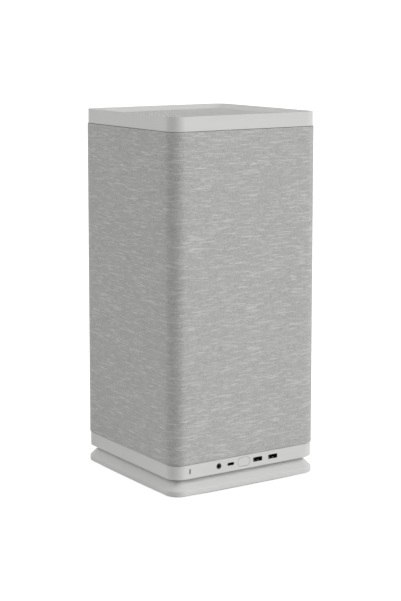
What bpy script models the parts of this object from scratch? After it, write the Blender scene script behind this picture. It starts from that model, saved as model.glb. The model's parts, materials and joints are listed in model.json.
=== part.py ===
"""Desktop computer tower in a fabric sleeve, modelled as an assembly of separate named pieces.

Frame: origin on the floor under the middle of the tower, +Z up, the port side faces -Y. Metres.
"""

import math

import bmesh
import bpy
from mathutils import Matrix, Vector

# ---------------------------------------------------------------- driving dimensions
BODY_WIDTH = 0.2110          # fabric face to fabric face, square in plan
BODY_HEIGHT = 0.4500         # floor to top rim
CORNER_RADIUS = 0.0180       # upright corners of the fabric
CORNER_STEPS = 8             # facets round one upright corner
FIT = 0.0003                 # gap between pieces that touch
SPARE = 0.0020               # a cutter or a joined piece runs this far past a face
SLIVER = 0.00001             # keeps a round end from meeting its opposite one

# foot
PAD_DROP = 0.0012            # rubber pads lift the foot this far off the floor
PAD_RADIUS = 0.0100
PAD_STEPS = 20
PAD_POCKET = 0.0015          # depth of a pad's pocket in the foot
PAD_INSET = 0.0255           # pad centre in from the foot's edge
PAD_EDGE = 0.0004
FOOT_RIM = 0.0065            # height of the upright rim
FOOT_SLOPE_RISE = 0.0163
FOOT_SLOPE_RUN = 0.0169
FOOT_WALL = 0.0030           # top plate left over the hollow underside
FOOT_HOLLOW = 0.1300
FOOT_HOLLOW_CORNER = 0.0100
FOOT_EDGE = 0.0008           # rounding of the foot's edges
NECK_WIDTH = 0.1600
NECK_RADIUS = 0.0120
NECK_WALL = 0.0030
NECK_WINDOW = (0.0420, 0.0076)
NECK_WINDOW_PITCH = 0.0480

# lower band, sleeve and cap
FABRIC_PROUD = 0.00095       # fabric stands this far outside the plastic
FABRIC_THICKNESS = 0.0009
SEAM = 0.0005                # open line above and below the fabric
BAND_BOTTOM = 0.0217
BAND_HEIGHT = 0.0168
BAND_WALL = 0.0025
SLEEVE_WALL = 0.0018
SLEEVE_COLUMNS = 4
SLEEVE_ROWS = 5
SLEEVE_BAR = 0.0080          # bar between two air windows
SLEEVE_EDGE = 0.0160         # plain border above and below the windows
SLEEVE_STILE = 0.0240        # plain border beside the windows
CAP_HEIGHT = 0.0173
CAP_RIM = 0.0023             # flat rim round the top
CAP_SLOPE_RUN = 0.0102
CAP_SLOPE_DROP = 0.0050
CAP_FLANGE = 0.0025          # thickness of the cap's inner edge
CAP_LIP = 0.0077             # lip that plugs into the sleeve
CAP_LIP_WALL = 0.0018
GRILLE_THICKNESS = 0.0015
GRILLE_SINK = 0.0003         # grille's face below the cap's inner edge
GRILLE_SLOTS = 9
GRILLE_SLOT_WIDTH = 0.0090
GRILLE_BORDER = 0.0110
CAP_EDGE = 0.0004            # rounding of the cap's edges
FILTER_THICKNESS = 0.0016
FILTER_LAP = 0.0040          # filter frame wider than the grille, each side
FILTER_BORDER = 0.0100
FILTER_MESH = 0.0006

# front ports: places along the band, all on one line
PORT_Z = 0.0306
STATUS_LIGHT_X = -0.0815
AUDIO_X = -0.0404
USB_C_X = -0.0232
BUTTON_X = -0.0040
USB_A_X = (0.0164, 0.0390)
STATUS_LIGHT_SIZE = (0.0014, 0.0055)
AUDIO_HOLE_RADIUS = 0.0036
AUDIO_BODY = (0.0080, 0.0120, 0.0057)
AUDIO_BORE_RADIUS = 0.0018
AUDIO_BORE_DEPTH = 0.0110
USB_C_SHELL = (0.00894, 0.0105, 0.00326)
USB_C_TONGUE = (0.0067, 0.0070, 0.0007)
USB_C_HOLE = (0.0100, 0.0037)
USB_A_SHELL = (0.01314, 0.0140, 0.00572)
USB_A_TONGUE = (0.0110, 0.0095, 0.0019)
USB_A_HOLE = (0.0134, 0.0054)
USB_A_HOLE_CORNER = 0.0004
SHELL_WALL = 0.0003
BUTTON_SIZE = (0.0176, 0.0104)
BUTTON_GAP = 0.0004
BUTTON_FLANGE = 0.0012
BUTTON_FLANGE_DEPTH = 0.0010
BUTTON_TRAVEL = 0.0012
BUTTON_PROUD = 0.0001
BUTTON_STEM = (0.0020, 0.0018)
SWITCH_BODY = (0.0062, 0.0050, 0.0050)
PORT_BOARD = (0.1180, 0.0200, 0.0016)

# chassis
PAN_THICKNESS = 0.0020
POST_SIDE = 0.0100
POST_CORNER = 0.0025
PAN_HOLE_CORNER = 0.0040
POST_GAP = 0.0012            # posts clear of the sleeve's rounded inner corners
TOP_FRAME_THICKNESS = 0.0020
SHEET = 0.0020
SPINE_X = -0.0370            # middle of the spine sheet
BAY_GATE = (0.1100, 0.0340)  # hole through the spine in the bay
BAY_GATE_RISE = 0.0300
LEAD_GATE = (0.0240, 0.0200) # hole through the spine for the card's lead
GATE_CORNER = 0.0040
LEAD_GATE_INSET = 0.0160     # gate's middle in from the spine's front edge
LEAD_GATE_RISE = 0.0060      # and above the supply's underside
CABLE_WELL = (0.0900, 0.0360)
CABLE_WELL_Y = 0.0540
INTAKE = (0.0400, 0.0900)
INTAKE_PLACE = (0.0640, -0.0220)
OUTLET_WIDTH = 0.1080
OUTLET_HEIGHT = 0.0120
OUTLET_CORNER = 0.0030
OUTLET_REACH = 0.0300

# mainboard and what it carries
BOARD_SIDE = 0.1700
BOARD_THICKNESS = 0.0016
BOARD_STANDOFF = 0.0060
STUD_RADIUS = 0.0025
STUD_INSET = 0.0130
IO_BAY = 0.0590              # clear height under the board, for the plugs
PORT_BLOCK = (0.0340, 0.1400, 0.0180)
PORT_BLOCK_Y = -0.0060
PORT_BLOCK_DROP = 0.0020     # block below the board's lower edge
PORT_MOUTH_DEPTH = 0.0100
PORT_MOUTHS = ((0.026, 0.014), (0.016, 0.014), (0.028, 0.013), (0.028, 0.013), (0.024, 0.016), (0.026, 0.020))
PORT_MOUTH_PITCH = 0.0226
MEMORY = (0.0310, 0.1330, 0.0055)
MEMORY_PITCH = 0.0095
MEMORY_INSET = 0.0085        # upper module below the board's upper edge
MEMORY_Y = -0.0080
COOLER_Y = -0.0050
COOLER_Z = 0.0840            # cooler's middle above the board's lower edge
COOLER_PLATE = (0.0090, 0.0420, 0.0420)
COOLER_SIDE = 0.1180
COOLER_RISE = 0.0420         # fins' underside above the board
COOLER_FINS = 0.0450
FIN_COUNT = 18
FIN_THICKNESS = 0.0008
PIPE_RADIUS = 0.0030
PIPE_PITCH = 0.0120
CPU_FAN = (0.1200, 0.0250)
CPU_FAN_BORE = 0.0570
CPU_FAN_HUB = 0.0200

# power supply
SUPPLY = (0.0635, 0.1250, 0.1000)
SUPPLY_GAP = 0.0060          # above the board's upper edge
SUPPLY_BRACKET = 0.0025
SUPPLY_FAN_RADIUS = 0.0440
SUPPLY_FAN_DEPTH = 0.0140
SUPPLY_FAN_HUB = 0.0160
SUPPLY_FAN_SINK = 0.0015     # rotor below the case's face
SUPPLY_POCKET_SPARE = 0.0040 # pocket deeper than the rotor
SUPPLY_EDGE = 0.0006
GUARD_RINGS = (0.0170, 0.0320, 0.0470)
GUARD_WIRE = 0.0008
GUARD_BAR = (0.0012, 0.0018, 0.0980)
ROCKER = (0.0110, 0.0190, 0.0050)
ROCKER_PLACE = (0.0120, -0.0380)
ROCKER_PLAY = (0.0016, 0.0010)
ROCKER_AXIS_DROP = 0.0010
ROCKER_SPAN = (0.0025, 0.0035) # rocker below and above its axis
INLET_PLUG = (0.0190, 0.0270, 0.0160)

# graphics card
CARD = (0.0016, 0.1120, 0.2670)
CARD_GAP = 0.0055            # card's back off the spine
CARD_RISE = 0.0020           # card's lower end above the board's lower edge
CARD_FINS = 0.0290
CARD_SHROUD = 0.0170
CARD_FAN_RADIUS = 0.0455
CARD_FIN_COUNT = 26
CARD_OFFSET = -0.0040        # card's middle along Y
CARD_BRACKET = 0.0010
CARD_FAN_HUB = 0.0170
CARD_FIN_THICKNESS = 0.0012
CARD_BASE = 0.0060
CARD_FIN_SHORT = 0.0120      # fin block shorter than the card
CARD_FIN_NARROW = 0.0100     # fins narrower than the card
CARD_BASE_NARROW = 0.0080    # fins' base narrower than the card
CARD_SHROUD_CORNER = 0.0060
CARD_PORT = (0.0080, 0.0170)
CARD_PORT_PITCH = 0.0240
CARD_PORTS = 4
CARD_VENT = (0.0180, 0.0120)
CARD_VENT_PITCH = 0.0200
CARD_VENTS = 5
CARD_VENT_PLACE = 0.0300     # middle of the vents off the card's face
RISER_SOCKET = (0.0080, 0.0110, 0.0900)
RISER_PLUG = (0.0150, 0.0120, 0.0900)
RISER_THICKNESS = 0.0012
RISER_RISE = 0.0100          # riser's lower end above the board's lower edge
RISER_BEND = 0.0040
RISER_STAND_OFF = 0.0030     # ribbon clear of the spine's edge
RISER_PLUG_INSET = 0.0010

# top fan
TOP_FAN = (0.1800, 0.0320)
TOP_FAN_BORE = 0.0860
TOP_FAN_DROP = 0.0010        # fan's top below the cap
FAN_FRAME_RADIUS = 0.0060
FAN_TIP_GAP = 0.0015
STRUT = (0.0050, 0.0030)
STRUT_LAP = 0.0020           # struts run this far into the frame
MOTOR_SHARE = 0.30           # motor's radius as a share of the bore
TOP_FAN_HUB = 0.0260
ROTOR_SHORT = 0.0020         # rotor shorter than what the struts leave
BLADES = 9
BLADE_SWEEP = math.radians(26)
BLADE_CHORD = math.radians(30)
BLADE_THICKNESS = 0.0011
BLADE_ROOT = 0.92            # blades start inside the hub, as a share of its radius
BLADE_HEIGHT = 0.78          # as a share of the rotor's depth
BLADE_TAPER = 0.35

# mains inlet in the bay and leads
INLET = (0.0280, 0.0200, 0.0200)
INLET_FLANGE = (0.0480, 0.0028, 0.0280)
INLET_X = 0.0600
INLET_Y = 0.0560
INLET_TAB = 0.0015
INLET_TAB_LAP = 0.0030
INLET_LIFT = 0.0040          # flange above the pan
INLET_WALL = 0.0020
INLET_BACK = 0.0045
INLET_PLUG_Y = 0.0300
INLET_LEAD_X = 0.0780
INLET_LEAD_REACH = 0.0090    # lead's upright run behind the inlet
MAIN_PLUG = (0.0095, 0.0120, 0.0500)
MAIN_PLUG_DROP = 0.0300      # plug's middle below the board's upper edge
MAIN_PLUG_INSET = 0.0030
MAIN_LEAD_RADIUS = 0.0045
SUPPLY_OUTLET = (0.0120, 0.0520) # behind the supply's face, off its middle
CARD_SOCKET_DROP = 0.0400    # lead's socket below the card's upper end
LEAD_RADIUS = 0.0032
LEAD_STUB = 0.0020           # straight stretch at each end of a lead

# ---------------------------------------------------------------- places that follow
PLASTIC_WIDTH = BODY_WIDTH - 2 * FABRIC_PROUD
PLASTIC_RADIUS = CORNER_RADIUS - FABRIC_PROUD
SLEEVE_WIDTH = BODY_WIDTH - 2 * (FABRIC_THICKNESS + FIT)
SLEEVE_RADIUS = CORNER_RADIUS - FABRIC_THICKNESS - FIT
SLEEVE_INNER = SLEEVE_WIDTH / 2 - SLEEVE_WALL
FOOT_TOP = PAD_DROP + FOOT_RIM + FOOT_SLOPE_RISE
BAND_TOP = BAND_BOTTOM + BAND_HEIGHT
BAND_INNER = PLASTIC_WIDTH / 2 - BAND_WALL
CAP_BOTTOM = BODY_HEIGHT - CAP_HEIGHT
PAN_TOP = BAND_TOP - FIT
PAN_BOTTOM = PAN_TOP - PAN_THICKNESS
PAN_WIDTH = 2 * (BAND_INNER - FIT)
CORNER_REACH = SLEEVE_RADIUS - SLEEVE_WALL - POST_CORNER
SLEEVE_CLEARANCE = CORNER_REACH - (CORNER_REACH - POST_GAP) / math.sqrt(2)
POST_PLACE = SLEEVE_INNER - SLEEVE_CLEARANCE - POST_SIDE / 2
TOP_FAN_TOP = CAP_BOTTOM - TOP_FAN_DROP
TOP_FAN_BOTTOM = TOP_FAN_TOP - TOP_FAN[1]
TOP_FRAME_TOP = TOP_FAN_BOTTOM - FIT
TOP_FRAME_BOTTOM = TOP_FRAME_TOP - TOP_FRAME_THICKNESS
TOP_FRAME_WIDTH = 2 * POST_PLACE + POST_SIDE
CHASSIS_LOW = PAN_TOP + FIT
CHASSIS_HIGH = TOP_FRAME_BOTTOM - FIT
SPINE_HALF_DEPTH = POST_PLACE - POST_SIDE / 2 - FIT
BOARD_BACK = SPINE_X + SHEET / 2 + BOARD_STANDOFF
BOARD_FACE = BOARD_BACK + BOARD_THICKNESS
BOARD_LOW = PAN_TOP + IO_BAY
BOARD_HIGH = BOARD_LOW + BOARD_SIDE
COOLER_MIDDLE_Z = BOARD_LOW + COOLER_Z
COOLER_FIN_BACK = BOARD_FACE + COOLER_RISE
COOLER_FIN_FRONT = COOLER_FIN_BACK + COOLER_FINS
SUPPLY_BACK = SPINE_X + SHEET / 2 + FIT + SUPPLY_BRACKET + FIT
SUPPLY_FRONT = SUPPLY_BACK + SUPPLY[0]
SUPPLY_LOW = BOARD_HIGH + SUPPLY_GAP
SUPPLY_HIGH = SUPPLY_LOW + SUPPLY[2]
SUPPLY_MIDDLE_Z = SUPPLY_LOW + SUPPLY[2] / 2
LEAD_GATE_Y = -SPINE_HALF_DEPTH + LEAD_GATE_INSET
LEAD_GATE_Z = SUPPLY_LOW + LEAD_GATE_RISE
CARD_FACE = SPINE_X - SHEET / 2 - CARD_GAP - CARD[0]
CARD_LOW = BOARD_LOW + CARD_RISE
CARD_MIDDLE_Z = CARD_LOW + CARD[2] / 2
CARD_FIN_FACE = CARD_FACE - FIT - CARD_FINS
CARD_SHROUD_FACE = CARD_FIN_FACE - FIT - CARD_SHROUD
CARD_FAN_SPREAD = CARD[2] / 4
FRONT_FACE = -PLASTIC_WIDTH / 2
SOCKET_FACE = -BAND_INNER + FIT
PORT_BOARD_TOP = PORT_Z - USB_A_SHELL[2] / 2 - FIT
INLET_Z = PAN_TOP + INLET_LIFT + INLET_FLANGE[2] / 2
CAP_RECESS_Z = BODY_HEIGHT - CAP_SLOPE_DROP
CAP_HOLE_HALF = PLASTIC_WIDTH / 2 - CAP_RIM - CAP_SLOPE_RUN
CAP_HOLE_RADIUS = PLASTIC_RADIUS - CAP_RIM - CAP_SLOPE_RUN
GRILLE_TOP = CAP_RECESS_Z - GRILLE_SINK
GRILLE_BOTTOM = GRILLE_TOP - GRILLE_THICKNESS
CAP_FLANGE_BOTTOM = CAP_RECESS_Z - CAP_FLANGE
FILTER_TOP = CAP_FLANGE_BOTTOM - FIT


# ---------------------------------------------------------------- tools
def start():
    """Empties the scene and makes one collection for the parts and one for the cutters."""
    for old in list(bpy.data.objects):
        bpy.data.objects.remove(old)
    parts = bpy.data.collections.new("fabric_tower_computer")
    cutters = bpy.data.collections.new("cutters")
    bpy.context.scene.collection.children.link(parts)
    bpy.context.scene.collection.children.link(cutters)
    return parts, cutters


PARTS, CUTTERS = start()


def look(name, colour, roughness, metallic=0.0):
    """A Principled BSDF material."""
    made = bpy.data.materials.new(name)
    made.use_nodes = True
    shader = made.node_tree.nodes["Principled BSDF"]
    shader.inputs["Base Color"].default_value = (*colour, 1.0)
    shader.inputs["Roughness"].default_value = roughness
    shader.inputs["Metallic"].default_value = metallic
    return made


PLASTIC = ((0.60, 0.60, 0.59), 0.45, 0.0)
BLACK_PLASTIC = ((0.02, 0.02, 0.02), 0.4, 0.0)
DARK_STEEL = ((0.06, 0.06, 0.065), 0.5, 0.6)
BRIGHT_STEEL = ((0.55, 0.55, 0.56), 0.3, 1.0)
ALUMINIUM = ((0.62, 0.63, 0.64), 0.35, 1.0)
RUBBER = ((0.03, 0.03, 0.03), 0.8, 0.0)
BOARD = ((0.02, 0.05, 0.03), 0.5, 0.0)
FABRIC = ((0.42, 0.42, 0.41), 0.95, 0.0)
CABLE = ((0.015, 0.015, 0.015), 0.55, 0.0)
COPPER = ((0.75, 0.36, 0.22), 0.3, 1.0)
LENS = ((0.25, 0.25, 0.25), 0.3, 0.0)


def slab(bm, size, centre, corner=0.0, axis=2, steps=4):
    """Adds a box; corner rounds its four edges along the axis."""
    made = bmesh.ops.create_cube(bm, size=1.0)["verts"]
    bmesh.ops.scale(bm, vec=size, verts=made)
    bmesh.ops.translate(bm, vec=centre, verts=made)
    if corner > 0.0:
        edges = {edge for vert in made for edge in vert.link_edges}
        along = [edge for edge in edges if abs((edge.verts[0].co - edge.verts[1].co)[axis]) > 1e-7]
        bmesh.ops.bevel(bm, geom=along, offset=corner, segments=steps, profile=0.5, affect="EDGES")


def drum(bm, radius, depth, centre, axis=2, steps=32):
    """Adds a cylinder along the axis."""
    turn = (Matrix.Rotation(math.pi / 2, 4, "Y"), Matrix.Rotation(math.pi / 2, 4, "X"), Matrix())[axis]
    bmesh.ops.create_cone(bm, cap_ends=True, segments=steps, radius1=radius, radius2=radius, depth=depth,
                          matrix=Matrix.Translation(centre) @ turn)


def place(name, bm, origin, material=None, smooth=False):
    """Turns a mesh built in world coordinates into an object with its origin at the given point."""
    bmesh.ops.translate(bm, vec=-Vector(origin), verts=bm.verts)
    bmesh.ops.recalc_face_normals(bm, faces=bm.faces)
    mesh = bpy.data.meshes.new(name)
    bm.to_mesh(mesh)
    bm.free()
    made = bpy.data.objects.new(name, mesh)
    made.location = origin
    if material is None:
        CUTTERS.objects.link(made)
        made.hide_render = True
        made.display_type = "WIRE"
        return made
    PARTS.objects.link(made)
    mesh.materials.append(look(name, *material))
    if smooth:
        mesh.shade_smooth()
        mesh.set_sharp_from_angle(angle=math.radians(35))
    return made


def block(name, size, centre, material=None, corner=0.0, axis=2, steps=4):
    """An object that is one box."""
    bm = bmesh.new()
    slab(bm, size, centre, corner, axis, steps)
    return place(name, bm, centre, material, smooth=corner > 0.0)


def disc(name, radius, depth, centre, material=None, axis=2, steps=32):
    """An object that is one cylinder."""
    bm = bmesh.new()
    drum(bm, radius, depth, centre, axis, steps)
    return place(name, bm, centre, material, smooth=True)


def boolean(target, tool, operation="DIFFERENCE"):
    """Cuts or joins with the exact solver."""
    modifier = target.modifiers.new(tool.name, "BOOLEAN")
    modifier.operation = operation
    modifier.solver = "EXACT"
    modifier.object = tool


def soften(target, width, segments=2, angle=40):
    """Rounds the sharp edges."""
    modifier = target.modifiers.new("rounded edges", "BEVEL")
    modifier.width = width
    modifier.segments = segments
    modifier.limit_method = "ANGLE"
    modifier.angle_limit = math.radians(angle)


def between(low, high):
    """Middle of a span."""
    return (low + high) / 2


def signs():
    """The four corners as sign pairs, with their names."""
    return (("front_left", -1, -1), ("front_right", 1, -1), ("rear_left", -1, 1), ("rear_right", 1, 1))


def open_ring(name, width, corner, thickness, low, high, material):
    """A square tube with rounded corners: an open wall made solid inwards."""
    bm = bmesh.new()
    slab(bm, (width, width, high - low), (0, 0, between(low, high)), corner, 2, CORNER_STEPS)
    caps = [face for face in bm.faces if abs(face.normal.z) > 0.9]
    bmesh.ops.delete(bm, geom=caps, context="FACES_ONLY")
    made = place(name, bm, (0, 0, low), material, smooth=True)
    shell = made.modifiers.new("wall", "SOLIDIFY")
    shell.thickness = thickness
    shell.offset = -1.0
    shell.use_even_offset = True
    return made


def smooth_route(points, step=0.009):
    """Points along a smooth curve through the given ones."""
    knots = [Vector(point) for point in points]
    knots = [2 * knots[0] - knots[1]] + knots + [2 * knots[-1] - knots[-2]]
    route = []
    for a, b, c, d in zip(knots, knots[1:], knots[2:], knots[3:]):
        count = max(1, round((c - b).length / step))
        for i in range(count):
            t = i / count
            route.append(0.5 * (2 * b + (c - a) * t + (2 * a - 5 * b + 4 * c - d) * t ** 2
                                + (3 * b - a - 3 * c + d) * t ** 3))
    return route + [knots[-2]]


def lead(name, start, start_way, points, end, end_way, radius):
    """A cable: a round bevel along a smooth route that leaves each end straight, with closed ends."""
    leaving = [Vector(start) + Vector(start_way) * LEAD_STUB * i for i in (0, 1, 2)]
    arriving = [Vector(end) + Vector(end_way) * LEAD_STUB * i for i in (2, 1, 0)]
    route = smooth_route(leaving + points + arriving)
    data = bpy.data.curves.new(name, "CURVE")
    data.dimensions = "3D"
    data.bevel_depth = radius
    data.bevel_resolution = 2
    data.use_fill_caps = True
    spline = data.splines.new("POLY")
    spline.points.add(len(route) - 1)
    for point, at in zip(spline.points, route):
        point.co = (*at, 1.0)
        point.radius = 1.0
    spline.use_smooth = True
    made = bpy.data.objects.new(name, data)
    PARTS.objects.link(made)
    data.materials.append(look(name, *CABLE))


# ---------------------------------------------------------------- foot
def foot_plate():
    """Square foot: upright rim, slope up to the neck, pockets for the pads, hollow underneath."""
    rim_top = PAD_DROP + FOOT_RIM
    bm = bmesh.new()
    slab(bm, (BODY_WIDTH, BODY_WIDTH, FOOT_RIM), (0, 0, between(PAD_DROP, rim_top)),
         CORNER_RADIUS, 2, CORNER_STEPS)
    top = [face for face in bm.faces if face.normal.z > 0.9]
    bmesh.ops.inset_region(bm, faces=top, thickness=FOOT_SLOPE_RUN, depth=FOOT_SLOPE_RISE,
                           use_even_offset=True)
    made = place("foot_plate", bm, (0, 0, PAD_DROP), PLASTIC, smooth=True)
    pockets = bmesh.new()
    pad_at = BODY_WIDTH / 2 - PAD_INSET
    for _, sx, sy in signs():
        drum(pockets, PAD_RADIUS + FIT, 2 * PAD_POCKET, (sx * pad_at, sy * pad_at, PAD_DROP),
             steps=PAD_STEPS)
    boolean(made, place("foot_pockets", pockets, (0, 0, 0)))
    hollow_top = FOOT_TOP - FOOT_WALL
    boolean(made, block("foot_hollow", (FOOT_HOLLOW, FOOT_HOLLOW, 2 * (hollow_top - PAD_DROP)),
                        (0, 0, PAD_DROP), corner=FOOT_HOLLOW_CORNER))
    soften(made, FOOT_EDGE, 1, 42)


def rubber_pads():
    """Four round pads that the tower stands on."""
    pad_at = BODY_WIDTH / 2 - PAD_INSET
    top = PAD_DROP + PAD_POCKET - FIT
    for name, sx, sy in signs():
        pad = disc(f"rubber_foot_{name}", PAD_RADIUS, top, (sx * pad_at, sy * pad_at, top / 2), RUBBER,
                   steps=PAD_STEPS)
        soften(pad, PAD_EDGE, 1)


def foot_neck():
    """Ring between foot and chassis, with air windows all round and the cable outlet at the rear."""
    low = FOOT_TOP + FIT
    high = PAN_BOTTOM - FIT
    made = open_ring("foot_neck", NECK_WIDTH, NECK_RADIUS, NECK_WALL, low, high, DARK_STEEL)
    middle = between(low, high)
    width, height = NECK_WINDOW
    across = bmesh.new()
    along = bmesh.new()
    for i in (-1, 0, 1):
        slab(across, (2 * NECK_WIDTH, width, height), (0, i * NECK_WINDOW_PITCH, middle))
        slab(along, (width, NECK_WIDTH, height), (i * NECK_WINDOW_PITCH, -NECK_WIDTH / 2, middle))
    slab(along, (OUTLET_WIDTH, OUTLET_REACH, height), (0, NECK_WIDTH / 2, middle))
    boolean(made, place("neck_windows_across", across, (0, 0, 0)))
    boolean(made, place("neck_windows_along", along, (0, 0, 0)))


# ---------------------------------------------------------------- lower band and front ports
def lower_band():
    """Band over the foot with the front port openings and a cable notch at the rear."""
    made = open_ring("lower_band", PLASTIC_WIDTH, PLASTIC_RADIUS, BAND_WALL, BAND_BOTTOM, BAND_TOP, PLASTIC)
    holes = bmesh.new()
    depth = 4 * BAND_WALL
    drum(holes, AUDIO_HOLE_RADIUS, depth, (AUDIO_X, FRONT_FACE, PORT_Z), 1, 24)
    slab(holes, (USB_C_HOLE[0], depth, USB_C_HOLE[1]), (USB_C_X, FRONT_FACE, PORT_Z),
         USB_C_HOLE[1] / 2 - SLIVER, 1, 6)
    button = (BUTTON_SIZE[0] + 2 * BUTTON_GAP, depth, BUTTON_SIZE[1] + 2 * BUTTON_GAP)
    slab(holes, button, (BUTTON_X, FRONT_FACE, PORT_Z), button[2] / 2 - SLIVER, 1, 10)
    light = (STATUS_LIGHT_SIZE[0] + 2 * FIT, depth, STATUS_LIGHT_SIZE[1] + 2 * FIT)
    slab(holes, light, (STATUS_LIGHT_X, FRONT_FACE, PORT_Z), light[0] / 2 - SLIVER, 1, 4)
    for x in USB_A_X:
        slab(holes, (USB_A_HOLE[0], depth, USB_A_HOLE[1]), (x, FRONT_FACE, PORT_Z), USB_A_HOLE_CORNER, 1, 2)
    slab(holes, (OUTLET_WIDTH, depth, 2 * OUTLET_HEIGHT), (0, PLASTIC_WIDTH / 2, BAND_BOTTOM),
         OUTLET_CORNER, 1, 4)
    boolean(made, place("band_holes", holes, (0, 0, 0)))


def status_light():
    """Small upright lens at the left of the band."""
    depth = BAND_WALL
    block("status_light", (STATUS_LIGHT_SIZE[0], depth, STATUS_LIGHT_SIZE[1]),
          (STATUS_LIGHT_X, FRONT_FACE + depth / 2, PORT_Z), LENS,
          STATUS_LIGHT_SIZE[0] / 2 - SLIVER, 1, 4)


def port_board():
    """Small board under the front sockets."""
    _, depth, thickness = PORT_BOARD
    middle = between(AUDIO_X, USB_A_X[-1])
    front = SOCKET_FACE + 2 * FIT    # clear of the headset socket's collar
    made = block("port_board", PORT_BOARD, (middle, front + depth / 2, PORT_BOARD_TOP - thickness / 2), BOARD)
    notch = (BUTTON_SIZE[0] + 2 * BUTTON_FLANGE + 4 * FIT,
             2 * (BUTTON_FLANGE_DEPTH + BUTTON_TRAVEL + 2 * FIT), 4 * thickness)
    boolean(made, block("port_board_notch", notch, (BUTTON_X, SOCKET_FACE, PORT_BOARD_TOP)))


def audio_jack():
    """Round headset socket with a collar in the band's hole."""
    depth = AUDIO_BODY[1]
    made = block("audio_jack", AUDIO_BODY, (AUDIO_X, SOCKET_FACE + depth / 2, PORT_Z), BLACK_PLASTIC)
    collar = BAND_WALL
    boolean(made, disc("audio_collar", AUDIO_HOLE_RADIUS - FIT, collar + 2 * FIT,
                       (AUDIO_X, SOCKET_FACE - collar / 2 + FIT, PORT_Z), axis=1, steps=20), "UNION")
    boolean(made, disc("audio_bore", AUDIO_BORE_RADIUS, 2 * AUDIO_BORE_DEPTH,
                       (AUDIO_X, FRONT_FACE, PORT_Z), axis=1, steps=16))


def usb_c_socket():
    """Oval socket shell and its tongue."""
    width, depth, height = USB_C_SHELL
    middle = SOCKET_FACE + depth / 2
    made = block("usb_c_socket", USB_C_SHELL, (USB_C_X, middle, PORT_Z), BRIGHT_STEEL,
                 height / 2 - SLIVER, 1, 6)
    inner = height - 2 * SHELL_WALL
    boolean(made, block("usb_c_mouth", (width - 2 * SHELL_WALL, 2 * (depth - SHELL_WALL), inner),
                        (USB_C_X, SOCKET_FACE, PORT_Z), None, inner / 2 - SLIVER, 1, 6))
    back = SOCKET_FACE + depth - SHELL_WALL - FIT
    block("usb_c_tongue", USB_C_TONGUE, (USB_C_X, back - USB_C_TONGUE[1] / 2, PORT_Z), BLACK_PLASTIC)


def usb_a_socket(side, x):
    """Rectangular socket shell and its tongue."""
    width, depth, height = USB_A_SHELL
    made = block(f"usb_a_socket_{side}", USB_A_SHELL, (x, SOCKET_FACE + depth / 2, PORT_Z), BRIGHT_STEEL)
    boolean(made, block(f"usb_a_mouth_{side}",
                        (width - 2 * SHELL_WALL, 2 * (depth - SHELL_WALL), height - 2 * SHELL_WALL),
                        (x, SOCKET_FACE, PORT_Z)))
    back = SOCKET_FACE + depth - SHELL_WALL - FIT
    rise = height / 2 - SHELL_WALL - FIT - USB_A_TONGUE[2]
    block(f"usb_a_tongue_{side}", USB_A_TONGUE,
          (x, back - USB_A_TONGUE[1] / 2, PORT_Z + rise), BLACK_PLASTIC)


def power_button():
    """Pill-shaped key with ears behind the band and a stem to the switch."""
    face = FRONT_FACE - BUTTON_PROUD
    back = SOCKET_FACE
    end = back + BUTTON_FLANGE_DEPTH
    made = block("power_button", (BUTTON_SIZE[0], end - face, BUTTON_SIZE[1]),
                 (BUTTON_X, between(face, end), PORT_Z), PLASTIC, BUTTON_SIZE[1] / 2 - SLIVER, 1, 8)
    ears = (BUTTON_SIZE[0] + 2 * BUTTON_FLANGE, BUTTON_FLANGE_DEPTH, BUTTON_SIZE[1] / 2)
    boolean(made, block("button_ears", ears, (BUTTON_X, between(back, end), PORT_Z)), "UNION")
    stem_radius, stem_length = BUTTON_STEM
    boolean(made, disc("button_stem", stem_radius, 2 * stem_length,
                       (BUTTON_X, end, PORT_Z), axis=1, steps=12), "UNION")
    return end + stem_length


def power_switch(stem_end):
    """Switch body behind the key."""
    width, depth, height = SWITCH_BODY
    low = PORT_BOARD_TOP + FIT
    face = stem_end + BUTTON_TRAVEL + FIT
    block("power_switch", (width, depth, height), (BUTTON_X, face + depth / 2, low + height / 2),
          BLACK_PLASTIC)


# ---------------------------------------------------------------- chassis
def base_pan():
    """Floor of the chassis, with the cable well and an air intake."""
    made = block("base_pan", (PAN_WIDTH, PAN_WIDTH, PAN_THICKNESS), (0, 0, between(PAN_BOTTOM, PAN_TOP)),
                 DARK_STEEL, PLASTIC_RADIUS - BAND_WALL - FIT, 2, CORNER_STEPS)
    holes = bmesh.new()
    deep = 4 * PAN_THICKNESS
    slab(holes, (*CABLE_WELL, deep), (0, CABLE_WELL_Y, PAN_TOP), PAN_HOLE_CORNER)
    for sx in (-1, 1):
        slab(holes, (*INTAKE, deep), (sx * INTAKE_PLACE[0], INTAKE_PLACE[1], PAN_TOP), PAN_HOLE_CORNER)
    boolean(made, place("pan_holes", holes, (0, 0, 0)))
    flange_width, _, flange_height = INLET_FLANGE
    tab_high = INLET_Z + flange_height / 2 + INLET_TAB_LAP
    tab_y = INLET_Y + FIT + INLET_TAB / 2
    boolean(made, block("inlet_tab", (flange_width, INLET_TAB, tab_high - PAN_BOTTOM),
                        (INLET_X, tab_y, between(PAN_BOTTOM, tab_high))), "UNION")
    hole = (INLET[0] + 2 * FIT, 4 * INLET_TAB, INLET[2] + 2 * FIT)
    boolean(made, block("inlet_tab_hole", hole, (INLET_X, tab_y, INLET_Z)))


def corner_posts():
    """Four upright posts."""
    for name, sx, sy in signs():
        block(f"corner_post_{name}", (POST_SIDE, POST_SIDE, CHASSIS_HIGH - CHASSIS_LOW),
              (sx * POST_PLACE, sy * POST_PLACE, between(CHASSIS_LOW, CHASSIS_HIGH)),
              DARK_STEEL, POST_CORNER, 2, 2)


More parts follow.
